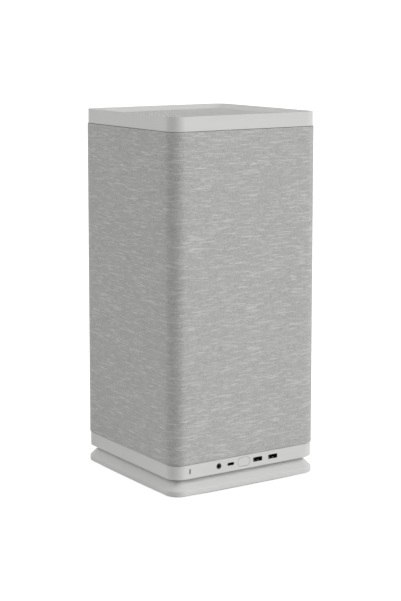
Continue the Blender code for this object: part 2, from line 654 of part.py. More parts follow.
def top_frame():
    """Plate on the posts that carries the top fan."""
    made = block("top_frame", (TOP_FRAME_WIDTH, TOP_FRAME_WIDTH, TOP_FRAME_THICKNESS),
                 (0, 0, between(TOP_FRAME_BOTTOM, TOP_FRAME_TOP)), DARK_STEEL, FAN_FRAME_RADIUS, 2, 4)
    boolean(made, disc("top_frame_hole", TOP_FAN_BORE, 4 * TOP_FRAME_THICKNESS, (0, 0, TOP_FRAME_TOP),
                       steps=40))


def spine_panel():
    """Upright sheet between the graphics card and the mainboard, with the board's standoffs."""
    made = block("spine_panel", (SHEET, 2 * SPINE_HALF_DEPTH, CHASSIS_HIGH - CHASSIS_LOW),
                 (SPINE_X, 0, between(CHASSIS_LOW, CHASSIS_HIGH)), DARK_STEEL)
    holes = bmesh.new()
    slab(holes, (4 * SHEET, *BAY_GATE), (SPINE_X, 0, CHASSIS_LOW + BAY_GATE_RISE), GATE_CORNER, 0)
    slab(holes, (4 * SHEET, *LEAD_GATE), (SPINE_X, LEAD_GATE_Y, LEAD_GATE_Z), GATE_CORNER, 0)
    boolean(made, place("spine_holes", holes, (0, 0, 0)))
    studs = bmesh.new()
    length = BOARD_BACK - FIT - SPINE_X
    for y in (-1, 1):
        for z in (BOARD_LOW + STUD_INSET, BOARD_HIGH - STUD_INSET):
            drum(studs, STUD_RADIUS, length,
                 (SPINE_X + length / 2, y * (BOARD_SIDE / 2 - STUD_INSET), z), 0, 8)
    boolean(made, place("spine_studs", studs, (0, 0, 0)), "UNION")


# ---------------------------------------------------------------- mainboard
def mainboard():
    """Square board standing on its port edge."""
    block("mainboard", (BOARD_THICKNESS, BOARD_SIDE, BOARD_SIDE),
          (between(BOARD_BACK, BOARD_FACE), 0, between(BOARD_LOW, BOARD_HIGH)), BOARD)


def board_ports():
    """Block of sockets that faces down into the bay."""
    width, _, height = PORT_BLOCK
    low = BOARD_LOW - PORT_BLOCK_DROP
    x = BOARD_FACE + FIT + width / 2
    made = block("board_ports", PORT_BLOCK, (x, PORT_BLOCK_Y, low + height / 2), BRIGHT_STEEL)
    mouths = bmesh.new()
    first = PORT_BLOCK_Y - PORT_MOUTH_PITCH * (len(PORT_MOUTHS) - 1) / 2
    for i, (deep, wide) in enumerate(PORT_MOUTHS):
        slab(mouths, (deep, wide, 2 * PORT_MOUTH_DEPTH), (x, first + i * PORT_MOUTH_PITCH, low))
    boolean(made, place("board_port_mouths", mouths, (0, 0, 0)))


def memory_modules():
    """Two modules that stand out of the board near its upper edge."""
    x = BOARD_FACE + FIT + MEMORY[0] / 2
    high = BOARD_HIGH - MEMORY_INSET
    for name, z in (("lower", high - MEMORY_PITCH), ("upper", high)):
        block(f"memory_module_{name}", MEMORY, (x, MEMORY_Y, z), DARK_STEEL)


def cpu_cooler():
    """Cold plate with heat pipes, fin stack, fan frame and rotor."""
    plate_x = BOARD_FACE + FIT + COOLER_PLATE[0] / 2
    base = block("cpu_cooler_base", COOLER_PLATE, (plate_x, COOLER_Y, COOLER_MIDDLE_Z), COPPER)
    pipes = bmesh.new()
    length = COOLER_FIN_BACK - FIT - plate_x
    for iy in (-1, 0, 1):
        for iz in (-1, 1):
            drum(pipes, PIPE_RADIUS, length,
                 (plate_x + length / 2, COOLER_Y + iy * PIPE_PITCH, COOLER_MIDDLE_Z + iz * PIPE_PITCH), 0, 12)
    boolean(base, place("cooler_pipes", pipes, (0, 0, 0)), "UNION")

    middle_x = between(COOLER_FIN_BACK, COOLER_FIN_FRONT)
    fins = bmesh.new()
    pitch = (COOLER_SIDE - FIN_THICKNESS) / (FIN_COUNT - 1)
    for i in range(FIN_COUNT):
        y = COOLER_Y - COOLER_SIDE / 2 + FIN_THICKNESS / 2 + i * pitch
        slab(fins, (COOLER_FINS, FIN_THICKNESS, COOLER_SIDE), (middle_x, y, COOLER_MIDDLE_Z))
    stack = place("cpu_cooler_fins", fins, (middle_x, COOLER_Y, COOLER_MIDDLE_Z), ALUMINIUM)
    rails = bmesh.new()
    for iz in (-1, 1):
        slab(rails, (2 * PIPE_RADIUS, COOLER_SIDE - 2 * FIN_THICKNESS, 2 * PIPE_RADIUS),
             (middle_x, COOLER_Y, COOLER_MIDDLE_Z + iz * COOLER_SIDE / 3))
    boolean(stack, place("cooler_rails", rails, (0, 0, 0)), "UNION")

    fan_middle = COOLER_FIN_FRONT + FIT + CPU_FAN[1] / 2
    fan_frame("cpu_fan_frame", CPU_FAN, CPU_FAN_BORE, (fan_middle, COOLER_Y, COOLER_MIDDLE_Z), 0, -1)
    fan_rotor("cpu_fan_rotor", CPU_FAN_BORE - FAN_TIP_GAP, CPU_FAN_HUB, CPU_FAN[1] - STRUT[1] - ROTOR_SHORT,
              (fan_middle + STRUT[1] / 2, COOLER_Y, COOLER_MIDDLE_Z), 0)


# ---------------------------------------------------------------- fans
def fan_frame(name, size, bore, centre, axis, strut_side):
    """Square frame with a round bore and a cross of struts that carries the motor."""
    side, depth = size
    full = [side, side, side]
    full[axis] = depth
    made = block(name, full, centre, BLACK_PLASTIC, FAN_FRAME_RADIUS, axis, 3)
    boolean(made, disc(f"{name}_bore", bore, 2 * depth, centre, axis=axis, steps=40))
    strut_width, strut_depth = STRUT
    at = list(centre)
    at[axis] += strut_side * (depth / 2 - strut_depth / 2)
    for i in (0, 1):
        bar = bmesh.new()
        length = 2 * (bore + STRUT_LAP)
        spans = [strut_width] * 3
        spans[axis] = strut_depth
        spans[(axis + 1) % 3] = length
        slab(bar, spans, (0, 0, 0))
        turn = Matrix.Rotation(math.pi / 4 + i * math.pi / 2, 3, "XYZ"[axis])
        bmesh.ops.rotate(bar, cent=(0, 0, 0), matrix=turn, verts=bar.verts)
        bmesh.ops.translate(bar, vec=at, verts=bar.verts)
        boolean(made, place(f"{name}_strut_{i}", bar, at), "UNION")
    motor = disc(f"{name}_motor", bore * MOTOR_SHARE, strut_depth + FIT, at, axis=axis, steps=24)
    boolean(made, motor, "UNION")


def fan_rotor(name, tip, hub, depth, centre, axis):
    """Hub with swept, pitched blades, turned so that its shaft lies along the axis."""
    made = disc(name, hub, depth, (0, 0, 0), BLACK_PLASTIC, steps=24)
    root = hub * BLADE_ROOT
    sheets = bmesh.new()
    for k in range(BLADES):
        grid = bmesh.ops.create_grid(sheets, x_segments=3, y_segments=1, size=0.5)["verts"]
        for vert in grid:
            along = vert.co.x + 0.5
            across = vert.co.y
            radius = root + (tip - root) * along
            angle = k * math.tau / BLADES + BLADE_SWEEP * along ** 1.5 + BLADE_CHORD * across
            height = depth * BLADE_HEIGHT * across * (1.0 - BLADE_TAPER * along)
            vert.co = (radius * math.cos(angle), radius * math.sin(angle), height)
    wings = place(f"{name}_blades", sheets, (0, 0, 0))
    shell = wings.modifiers.new("thickness", "SOLIDIFY")
    shell.thickness = BLADE_THICKNESS
    shell.offset = 0.0
    boolean(made, wings, "UNION")
    turn = ((0, math.pi / 2, 0), (math.pi / 2, 0, 0), (0, 0, 0))[axis]
    for piece in (made, wings):
        piece.rotation_euler = turn
        piece.location = centre


def top_fan():
    """Large fan that blows out of the top."""
    middle = between(TOP_FAN_BOTTOM, TOP_FAN_TOP)
    fan_frame("top_fan_frame", TOP_FAN, TOP_FAN_BORE, (0, 0, middle), 2, 1)
    fan_rotor("top_fan_rotor", TOP_FAN_BORE - FAN_TIP_GAP, TOP_FAN_HUB, TOP_FAN[1] - STRUT[1] - ROTOR_SHORT,
              (0, 0, middle - STRUT[1] / 2), 2)


# ---------------------------------------------------------------- power supply
def power_supply():
    """Case with a fan pocket, finger guard, rotor, rocker switch and the bracket on the spine."""
    _, width, height = SUPPLY
    centre = (between(SUPPLY_BACK, SUPPLY_FRONT), 0, SUPPLY_MIDDLE_Z)
    case = block("power_supply_case", SUPPLY, centre, DARK_STEEL)
    pocket = SUPPLY_FAN_DEPTH + SUPPLY_POCKET_SPARE
    boolean(case, disc("supply_fan_pocket", SUPPLY_FAN_RADIUS + FAN_TIP_GAP, 2 * pocket,
                       (SUPPLY_FRONT, 0, SUPPLY_MIDDLE_Z), axis=0, steps=32))
    switch = (centre[0] + ROCKER_PLACE[0], ROCKER_PLACE[1])
    boolean(case, block("supply_switch_pocket",
                        (ROCKER[0] + ROCKER_PLAY[0], ROCKER[1] + ROCKER_PLAY[1], 2 * ROCKER[2]),
                        (*switch, SUPPLY_HIGH)))
    soften(case, SUPPLY_EDGE, 1)

    block("power_supply_bracket", (SUPPLY_BRACKET, width, height),
          (SUPPLY_BACK - FIT - SUPPLY_BRACKET / 2, 0, SUPPLY_MIDDLE_Z), DARK_STEEL)

    guard = (SUPPLY_FRONT + FIT + GUARD_WIRE, 0, SUPPLY_MIDDLE_Z)
    rings = bmesh.new()
    for radius in GUARD_RINGS:
        ring(rings, radius, GUARD_WIRE, guard, 0, 24, 4)
    thin, thick, long = GUARD_BAR
    bar = block("power_supply_grille", (thin, long, thick), guard, BRIGHT_STEEL)
    boolean(bar, block("supply_guard_bar", (thin, thick, long), guard), "UNION")
    boolean(bar, place("supply_guard_rings", rings, (0, 0, 0)), "UNION")

    fan_rotor("power_supply_fan", SUPPLY_FAN_RADIUS, SUPPLY_FAN_HUB, SUPPLY_FAN_DEPTH,
              (SUPPLY_FRONT - SUPPLY_FAN_SINK - SUPPLY_FAN_DEPTH / 2, 0, SUPPLY_MIDDLE_Z), 0)

    pivot = SUPPLY_HIGH - ROCKER_AXIS_DROP
    below, above = ROCKER_SPAN
    trim = (2 * ROCKER[0], 2 * ROCKER[1], ROCKER[1])
    rocker = disc("power_supply_rocker", ROCKER[1] / 2, ROCKER[0], (*switch, pivot), BLACK_PLASTIC, 0, 24)
    boolean(rocker, block("rocker_trim_low", trim, (*switch, pivot - below - trim[2] / 2)))
    boolean(rocker, block("rocker_trim_high", trim, (*switch, pivot + above + trim[2] / 2)))


def ring(bm, radius, wire, centre, axis, steps, sides):
    """Adds a torus: a small circle carried round the axis."""
    circle = bmesh.ops.create_circle(bm, segments=sides, radius=wire)["verts"]
    edges = list({edge for vert in circle for edge in vert.link_edges})
    bmesh.ops.rotate(bm, cent=(0, 0, 0), matrix=Matrix.Rotation(math.pi / 2, 3, "X"), verts=circle)
    bmesh.ops.translate(bm, vec=(radius, 0, 0), verts=circle)
    turned = bmesh.ops.spin(bm, geom=circle + edges, cent=(0, 0, 0), axis=(0, 0, 1), angle=math.tau,
                            steps=steps, use_merge=True)
    verts = set(circle) | {piece for piece in turned["geom_last"] if isinstance(piece, bmesh.types.BMVert)}
    found = set(verts)
    front = list(verts)
    while front:
        vert = front.pop()
        for edge in vert.link_edges:
            other = edge.other_vert(vert)
            if other not in found:
                found.add(other)
                front.append(other)
    turns = (Matrix.Rotation(math.pi / 2, 3, "Y"), Matrix.Rotation(math.pi / 2, 3, "X"), Matrix.Identity(3))
    bmesh.ops.rotate(bm, cent=(0, 0, 0), matrix=turns[axis], verts=list(found))
    bmesh.ops.translate(bm, vec=centre, verts=list(found))


# ---------------------------------------------------------------- graphics card
def graphics_card():
    """Board, fin block, shroud with two fans and the port bracket."""
    thickness, depth, length = CARD
    block("graphics_board", CARD, (CARD_FACE + thickness / 2, CARD_OFFSET, CARD_MIDDLE_Z), BOARD)

    fins = bmesh.new()
    fin_length = CARD[2] - CARD_FIN_SHORT
    fin_rise = CARD_FINS - CARD_BASE + SPARE / 2
    pitch = (fin_length - CARD_FIN_THICKNESS) / (CARD_FIN_COUNT - 1)
    for i in range(CARD_FIN_COUNT):
        z = CARD_MIDDLE_Z - (fin_length - CARD_FIN_THICKNESS) / 2 + i * pitch
        slab(fins, (fin_rise, depth - CARD_FIN_NARROW, CARD_FIN_THICKNESS),
             (CARD_FIN_FACE + fin_rise / 2, CARD_OFFSET, z))
    base = block("graphics_heatsink", (CARD_BASE, depth - CARD_BASE_NARROW, fin_length),
                 (CARD_FACE - FIT - CARD_BASE / 2, CARD_OFFSET, CARD_MIDDLE_Z), ALUMINIUM)
    boolean(base, place("graphics_fins", fins, (0, 0, 0)), "UNION")

    shroud_middle = CARD_FIN_FACE - FIT - CARD_SHROUD / 2
    shroud = block("graphics_shroud", (CARD_SHROUD, depth, length),
                   (shroud_middle, CARD_OFFSET, CARD_MIDDLE_Z), BLACK_PLASTIC, CARD_SHROUD_CORNER, 0, 3)
    bores = bmesh.new()
    for side in (-1, 1):
        drum(bores, CARD_FAN_RADIUS + FAN_TIP_GAP, 2 * CARD_SHROUD,
             (shroud_middle, CARD_OFFSET, CARD_MIDDLE_Z + side * CARD_FAN_SPREAD), 0, 32)
    boolean(shroud, place("graphics_bores", bores, (0, 0, 0)))
    for name, side in (("lower", -1), ("upper", 1)):
        fan_rotor(f"graphics_fan_{name}", CARD_FAN_RADIUS, CARD_FAN_HUB, CARD_SHROUD - 2 * FAN_TIP_GAP,
                  (shroud_middle, CARD_OFFSET, CARD_MIDDLE_Z + side * CARD_FAN_SPREAD), 0)

    span = CARD_FACE + thickness - CARD_SHROUD_FACE
    bracket = block("graphics_bracket", (span, depth, CARD_BRACKET),
                    (CARD_SHROUD_FACE + span / 2, CARD_OFFSET, CARD_LOW - FIT - CARD_BRACKET / 2),
                    BRIGHT_STEEL)
    slots = bmesh.new()
    for size, place_x, count, pitch in ((CARD_PORT, CARD_PORT[0], CARD_PORTS, CARD_PORT_PITCH),
                                        (CARD_VENT, CARD_VENT_PLACE, CARD_VENTS, CARD_VENT_PITCH)):
        for i in range(count):
            y = CARD_OFFSET + (i - (count - 1) / 2) * pitch
            slab(slots, (*size, 4 * CARD_BRACKET + SPARE), (CARD_FACE - place_x, y, CARD_LOW - CARD_BRACKET))
    boolean(bracket, place("graphics_bracket_slots", slots, (0, 0, 0)))


def riser():
    """Flat ribbon that carries the card's bus round the spine's edge."""
    _, depth, length = RISER_SOCKET
    low = BOARD_LOW + RISER_RISE
    middle_z = low + length / 2
    card_edge = CARD_OFFSET + CARD[1] / 2
    card_x = CARD_FACE + CARD[0] / 2
    block("riser_socket", RISER_SOCKET, (card_x, card_edge + FIT + depth / 2, middle_z), BLACK_PLASTIC)
    socket_end = card_edge + 2 * FIT + depth
    plug_width, plug_depth, _ = RISER_PLUG
    plug_y = BOARD_SIDE / 2 - RISER_PLUG_INSET - plug_depth / 2
    block("riser_plug", RISER_PLUG, (BOARD_FACE + FIT + plug_width / 2, plug_y, middle_z), BLACK_PLASTIC)
    plug_end = plug_y + plug_depth / 2 + FIT
    ribbon_x = BOARD_FACE + 4 * plug_width / 5
    turn = SPINE_HALF_DEPTH + RISER_STAND_OFF
    angles = [i * math.pi / 8 for i in range(1, 5)]
    path = [(card_x, socket_end), (card_x, turn)]
    path += [(card_x + RISER_BEND * (1 - math.cos(a)), turn + RISER_BEND * math.sin(a)) for a in angles]
    path += [(ribbon_x - RISER_BEND * (1 - math.cos(a)), turn + RISER_BEND * math.sin(a))
             for a in reversed(angles)]
    path += [(ribbon_x, turn), (ribbon_x, plug_end)]
    sheet = bmesh.new()
    verts = [sheet.verts.new((x, y, low)) for x, y in path]
    edges = [sheet.edges.new(pair) for pair in zip(verts, verts[1:])]
    raised = bmesh.ops.extrude_edge_only(sheet, edges=edges)["geom"]
    bmesh.ops.translate(sheet, vec=(0, 0, length),
                        verts=[piece for piece in raised if isinstance(piece, bmesh.types.BMVert)])
    ribbon = place("riser_ribbon", sheet, (card_x, turn, middle_z), CABLE, smooth=True)
    shell = ribbon.modifiers.new("thickness", "SOLIDIFY")
    shell.thickness = RISER_THICKNESS
    shell.offset = 0.0


# ---------------------------------------------------------------- inlet and leads
def mains_inlet():
    """Inlet in the bay on the pan's tab, facing the front."""
    width, depth, height = INLET
    made = block("mains_inlet", INLET, (INLET_X, INLET_Y + depth / 2, INLET_Z), BLACK_PLASTIC)
    flange_y = INLET_Y - INLET_FLANGE[1] / 2 + FIT / 2
    boolean(made, block("inlet_flange", INLET_FLANGE, (INLET_X, flange_y, INLET_Z), None, INLET_WALL, 1, 2),
            "UNION")
    boolean(made, block("inlet_mouth",
                        (width - 2 * INLET_WALL, 2 * (depth - INLET_BACK), height - 2 * INLET_WALL),
                        (INLET_X, INLET_Y, INLET_Z), None, INLET_WALL, 1, 2))
    return Vector((INLET_X, INLET_Y + depth + FIT, INLET_Z))


def leads(inlet_back):
    """Leads clipped inside the chassis from end to end."""
    plug_x = between(SUPPLY_BACK, SUPPLY_FRONT)
    plug_z = SUPPLY_HIGH + FIT + INLET_PLUG[2] / 2
    block("inlet_lead_plug", INLET_PLUG, (plug_x, INLET_PLUG_Y, plug_z), BLACK_PLASTIC, INLET_WALL, 2, 2)
    plug_end = (plug_x + INLET_PLUG[0] / 2 + FIT, INLET_PLUG_Y, plug_z)
    x, y, z = INLET_LEAD_X, inlet_back.y + INLET_LEAD_REACH, inlet_back.z
    lead("inlet_lead", inlet_back, (0, 1, 0),
         [(inlet_back.x + 0.004, y, z + 0.010), (x, y, z + 0.034),
          (x, y, between(z, plug_z)), (x, y, plug_z - 0.040),
          (x - 0.008, y - 0.020, plug_z - 0.004), (plug_end[0] + 0.030, INLET_PLUG_Y + 0.008, plug_z)],
         plug_end, (1, 0, 0), LEAD_RADIUS)

    plug_y = (BOARD_SIDE - MAIN_PLUG[1]) / 2 - MAIN_PLUG_INSET
    plug_z = BOARD_HIGH - MAIN_PLUG_DROP
    block("mainboard_power_plug", MAIN_PLUG, (BOARD_FACE + FIT + MAIN_PLUG[0] / 2, plug_y, plug_z),
          BLACK_PLASTIC)
    outlet_x = SUPPLY_FRONT - SUPPLY_OUTLET[0]
    outlet_y = SUPPLY_OUTLET[1]
    outlet_z = SUPPLY_LOW - FIT
    lead("mainboard_power_lead", (outlet_x, outlet_y, outlet_z), (0, 0, -1),
         [(outlet_x - 0.004, outlet_y + 0.014, outlet_z - 0.020)],
         (BOARD_FACE + MAIN_PLUG[0] + 2 * FIT, plug_y, plug_z), (1, 0, 0), MAIN_LEAD_RADIUS)

    card_edge = CARD_OFFSET - CARD[1] / 2
    card_x = CARD_FIN_FACE + 0.012
    socket_z = CARD_LOW + CARD[2] - CARD_SOCKET_DROP
    lead("graphics_power_lead", (outlet_x, -outlet_y, outlet_z), (0, 0, -1),
         [(outlet_x - 0.004, LEAD_GATE_Y + 0.005, outlet_z - 0.007),
          (SPINE_X + 0.028, LEAD_GATE_Y - 0.002, LEAD_GATE_Z - 0.003),
          (SPINE_X + 0.014, LEAD_GATE_Y, LEAD_GATE_Z),
          (SPINE_X - 0.010, LEAD_GATE_Y, LEAD_GATE_Z), (card_x + 0.004, LEAD_GATE_Y, socket_z - 0.036),
          (card_x, LEAD_GATE_Y, socket_z - 0.012)],
         (card_x, card_edge - FIT, socket_z), (0, -1, 0), LEAD_RADIUS)


# ---------------------------------------------------------------- sleeve and cap
def sleeve_shell():
    """Stiff inner frame of the sleeve, with air windows in its four sides."""
    low = BAND_TOP + FIT
    high = CAP_BOTTOM - FIT
    made = open_ring("sleeve_frame", SLEEVE_WIDTH, SLEEVE_RADIUS, SLEEVE_WALL, low, high, BLACK_PLASTIC)
    span = SLEEVE_WIDTH - 2 * SLEEVE_STILE
    rise = high - low - 2 * SLEEVE_EDGE
    width = (span - (SLEEVE_COLUMNS - 1) * SLEEVE_BAR) / SLEEVE_COLUMNS
    height = (rise - (SLEEVE_ROWS - 1) * SLEEVE_BAR) / SLEEVE_ROWS
    across = bmesh.new()
    along = bmesh.new()
    for column in range(SLEEVE_COLUMNS):
        for row in range(SLEEVE_ROWS):
            at = -span / 2 + width / 2 + column * (width + SLEEVE_BAR)
            z = low + SLEEVE_EDGE + height / 2 + row * (height + SLEEVE_BAR)
            slab(across, (2 * SLEEVE_WIDTH, width, height), (0, at, z))
            slab(along, (width, 2 * SLEEVE_WIDTH, height), (at, 0, z))
    boolean(made, place("sleeve_windows_across", across, (0, 0, 0)))
    boolean(made, place("sleeve_windows_along", along, (0, 0, 0)))


def fabric_wrap():
    """Fabric stretched round the sleeve's frame."""
    open_ring("fabric_wrap", BODY_WIDTH, CORNER_RADIUS, FABRIC_THICKNESS, BAND_TOP + SEAM, CAP_BOTTOM - SEAM,
              FABRIC)


def top_cap():
    """Cap with a flat rim, a sloped recess and a lip inside the sleeve."""
    made = block("top_cap", (PLASTIC_WIDTH, PLASTIC_WIDTH, CAP_HEIGHT),
                 (0, 0, between(CAP_BOTTOM, BODY_HEIGHT)), PLASTIC, PLASTIC_RADIUS, 2, CORNER_STEPS)
    lip_width = 2 * (SLEEVE_INNER - FIT)
    lip_radius = SLEEVE_RADIUS - SLEEVE_WALL - FIT
    lip = block("cap_lip", (lip_width, lip_width, CAP_LIP + SPARE),
                (0, 0, CAP_BOTTOM + (SPARE - CAP_LIP) / 2), None, lip_radius, 2, CORNER_STEPS)
    boolean(made, lip, "UNION")

    hollow_width = lip_width - 2 * CAP_LIP_WALL
    low = CAP_BOTTOM - CAP_LIP - SPARE
    boolean(made, block("cap_hollow", (hollow_width, hollow_width, CAP_FLANGE_BOTTOM - low),
                        (0, 0, between(low, CAP_FLANGE_BOTTOM)), None, lip_radius - CAP_LIP_WALL, 2,
                        CORNER_STEPS))
    recess = bmesh.new()
    fall = CAP_SLOPE_DROP + SPARE
    slope_run = CAP_SLOPE_RUN * fall / CAP_SLOPE_DROP
    width = 2 * (CAP_HOLE_HALF + slope_run)
    slab(recess, (width, width, SPARE), (0, 0, BODY_HEIGHT + 1.5 * SPARE), CAP_HOLE_RADIUS + slope_run, 2,
         CORNER_STEPS)
    lower = [face for face in recess.faces if face.normal.z < -0.9]
    bmesh.ops.inset_region(recess, faces=lower, thickness=slope_run, depth=fall, use_even_offset=True)
    boolean(made, place("cap_recess", recess, (0, 0, 0)))
    boolean(made, block("cap_hole", (2 * CAP_HOLE_HALF, 2 * CAP_HOLE_HALF, 4 * CAP_FLANGE),
                        (0, 0, CAP_RECESS_Z), None, CAP_HOLE_RADIUS, 2, CORNER_STEPS))
    soften(made, CAP_EDGE, 1, 35)


def top_grille():
    """Air grille sunk in the cap, and the dust filter under it."""
    width = 2 * (CAP_HOLE_HALF - FIT)
    made = block("top_grille", (width, width, GRILLE_THICKNESS), (0, 0, between(GRILLE_BOTTOM, GRILLE_TOP)),
                 PLASTIC, CAP_HOLE_RADIUS - FIT, 2, CORNER_STEPS)
    slots = bmesh.new()
    length = width - 2 * GRILLE_BORDER
    pitch = (length - GRILLE_SLOT_WIDTH) / (GRILLE_SLOTS - 1)
    for i in range(GRILLE_SLOTS):
        y = -length / 2 + GRILLE_SLOT_WIDTH / 2 + i * pitch
        slab(slots, (length, GRILLE_SLOT_WIDTH, 4 * GRILLE_THICKNESS), (0, y, GRILLE_TOP))
    boolean(made, place("grille_slots", slots, (0, 0, 0)))

    filter_width = width + 2 * FILTER_LAP
    frame = block("top_filter", (filter_width, filter_width, FILTER_THICKNESS),
                  (0, 0, FILTER_TOP - FILTER_THICKNESS / 2), BLACK_PLASTIC, CAP_HOLE_RADIUS, 2, 4)
    inner = filter_width - 2 * FILTER_BORDER
    boolean(frame, block("filter_dish", (inner, inner, 2 * (FILTER_THICKNESS - FILTER_MESH)),
                         (0, 0, FILTER_TOP)))


# ---------------------------------------------------------------- build
def build():
    """Makes every piece, from the floor up."""
    foot_plate()
    rubber_pads()
    foot_neck()
    lower_band()
    status_light()
    port_board()
    audio_jack()
    usb_c_socket()
    for side, x in zip(("left", "right"), USB_A_X):
        usb_a_socket(side, x)
    power_switch(power_button())
    base_pan()
    corner_posts()
    top_frame()
    spine_panel()
    mainboard()
    board_ports()
    memory_modules()
    cpu_cooler()
    power_supply()
    graphics_card()
    riser()
    leads(mains_inlet())
    top_fan()
    sleeve_shell()
    fabric_wrap()
    top_cap()
    top_grille()


build()
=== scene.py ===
# %% [markdown]
# # A tower computer in a fabric sleeve
# This lesson gives a finished look to a tower whose working pieces were made in CAD. Each cell then
# finishes one piece: a moulded foot, a cloth sleeve, a perforated grille, the sockets, and the boards and
# fans that show when the sleeve is lifted off. The size of the whole is kept and printed at the start, and
# the finished model's size is printed at the end.

# %% Load the frame
import json
import math

import bmesh
import bpy
import numpy as np
from mathutils import Matrix, Vector


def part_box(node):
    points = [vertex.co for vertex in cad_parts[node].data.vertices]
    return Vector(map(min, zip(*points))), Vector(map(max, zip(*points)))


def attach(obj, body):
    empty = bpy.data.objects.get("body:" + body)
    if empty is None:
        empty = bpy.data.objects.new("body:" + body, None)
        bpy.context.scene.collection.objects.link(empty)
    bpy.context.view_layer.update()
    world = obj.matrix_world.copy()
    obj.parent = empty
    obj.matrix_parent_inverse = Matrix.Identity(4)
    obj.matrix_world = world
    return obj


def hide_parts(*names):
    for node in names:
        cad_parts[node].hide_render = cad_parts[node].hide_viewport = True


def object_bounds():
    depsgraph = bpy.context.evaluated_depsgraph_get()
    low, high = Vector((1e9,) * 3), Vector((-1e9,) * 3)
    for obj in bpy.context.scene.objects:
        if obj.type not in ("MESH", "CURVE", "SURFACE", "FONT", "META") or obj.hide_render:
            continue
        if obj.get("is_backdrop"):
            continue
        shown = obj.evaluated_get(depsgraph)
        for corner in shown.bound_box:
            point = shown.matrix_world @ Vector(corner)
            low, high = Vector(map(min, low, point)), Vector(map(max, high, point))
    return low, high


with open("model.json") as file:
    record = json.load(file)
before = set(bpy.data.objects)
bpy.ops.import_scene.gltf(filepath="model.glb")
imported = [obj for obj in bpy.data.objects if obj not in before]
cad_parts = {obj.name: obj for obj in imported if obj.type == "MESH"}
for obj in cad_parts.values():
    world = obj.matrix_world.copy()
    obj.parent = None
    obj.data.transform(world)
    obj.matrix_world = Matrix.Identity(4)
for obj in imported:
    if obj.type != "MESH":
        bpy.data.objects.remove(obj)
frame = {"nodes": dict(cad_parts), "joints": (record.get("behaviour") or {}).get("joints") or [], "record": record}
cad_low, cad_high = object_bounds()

nodes = frame["nodes"]
home = {node: body for body, names in frame["record"]["behaviour"]["bodies"].items() for node in names}
finish_of = {part["node"]: part["material_slot"] for part in frame["record"]["subparts"]}
print("pieces in the frame:", len(nodes), "size:", [round(v, 4) for v in cad_high - cad_low])

# %% [markdown]
# ## The camera
# The tower is seen from a little above its top edge, turned so that two sides show. A long lens from two
# metres keeps the upright edges almost parallel, as a catalogue picture does. The view is shifted down a
# little instead of tilting the camera further, which would make the sides lean together.

# %% Camera
CAMERA_TURN = math.radians(-33.3481)
CAMERA_TILT = math.radians(7.0959)
CAMERA_REACH = 1.95423
CAMERA_HEIGHT = 0.56832

lens = bpy.data.cameras.new("studio_camera")
lens.lens = 95.05
lens.sensor_width = 36.0
lens.shift_x = 0.0023
lens.shift_y = -0.1498
camera = bpy.data.objects.new("studio_camera", lens)
camera.location = (math.sin(CAMERA_TURN) * CAMERA_REACH, -math.cos(CAMERA_TURN) * CAMERA_REACH, CAMERA_HEIGHT)
camera.rotation_euler = (math.pi / 2 - CAMERA_TILT, 0.0, CAMERA_TURN)
bpy.context.scene.collection.objects.link(camera)
bpy.context.scene.camera = camera
print("camera at", [round(v, 3) for v in camera.location])

# %% [markdown]
# ## A small hand for nodes
# Materials and Geometry Nodes are both trees of nodes. Wiring them by hand takes three lines for each
# node, so this helper takes a node's kind and what goes into each socket: a plain value is stored, and
# another socket is linked. The same helper serves both kinds of tree.

# %% Node helper
class Wiring:
    """Adds nodes to one tree. A socket takes a plain value or another socket."""

    def __init__(self, tree):
        self.tree = tree

    def feed(self, socket, value):
        if isinstance(value, bpy.types.NodeSocket):
            self.tree.links.new(value, socket)
        else:
            socket.default_value = value

    def add(self, kind, inputs=None, **settings):
        node = self.tree.nodes.new(kind)
        for key, value in settings.items():
            setattr(node, key, value)
        for key, value in (inputs or {}).items():
            self.feed(node.inputs[key], value)
        return node

    def math(self, operation, a, b=0.0, c=0.0):
        return self.add("ShaderNodeMath", {0: a, 1: b, 2: c}, operation=operation).outputs[0]

    def mix(self, share, a, b):
        node = self.add("ShaderNodeMix", data_type="RGBA")
        self.feed(node.inputs["Factor"], share)
        self.feed(node.inputs[6], a)
        self.feed(node.inputs[7], b)
        return node.outputs[2]

    def remap(self, value, low, high, to_low=0.0, to_high=1.0):
        return self.add("ShaderNodeMapRange", {0: value, 1: low, 2: high, 3: to_low, 4: to_high}).outputs[0]

    def join(self, *parts):
        node = self.tree.nodes.new("GeometryNodeJoinGeometry")
        for part in parts:
            self.feed(node.inputs[0], part)
        return node.outputs[0]

    def group(self, tree, inputs):
        node = self.tree.nodes.new("ShaderNodeGroup")
        node.node_tree = tree
        for key, value in inputs.items():
            self.feed(node.inputs[key], value)
        return node


def shader_group(name, inputs, outputs):
    """An empty shader group with these sockets; gives its wiring, its inputs and its output node."""
    tree = bpy.data.node_groups.new(name, "ShaderNodeTree")
    for label, kind, value in inputs:
        socket = tree.interface.new_socket(label, in_out="INPUT", socket_type=kind)
        if value is not None:
            socket.default_value = value
    for label, kind in outputs:
        tree.interface.new_socket(label, in_out="OUTPUT", socket_type=kind)
    wiring = Wiring(tree)
    return wiring, wiring.add("NodeGroupInput").outputs, wiring.add("NodeGroupOutput").inputs


print("node helper ready")

# %% [markdown]
# ## Grain of moulded and coated surfaces
# A moulded plastic shell isn't smooth. Its tool is etched, which leaves pits a fifth of a millimetre
# across, and hands and dust leave soft patches where it is a little glossier. Powder coat has a coarser
# skin like orange peel. Both are noise at different sizes, so one group serves every such surface: it
# gives a height for the bump and a slow patchiness for colour and gloss.

# %% Shared group: surface grain
VECTOR, NUMBER, COLOUR = "NodeSocketVector", "NodeSocketFloat", "NodeSocketColor"

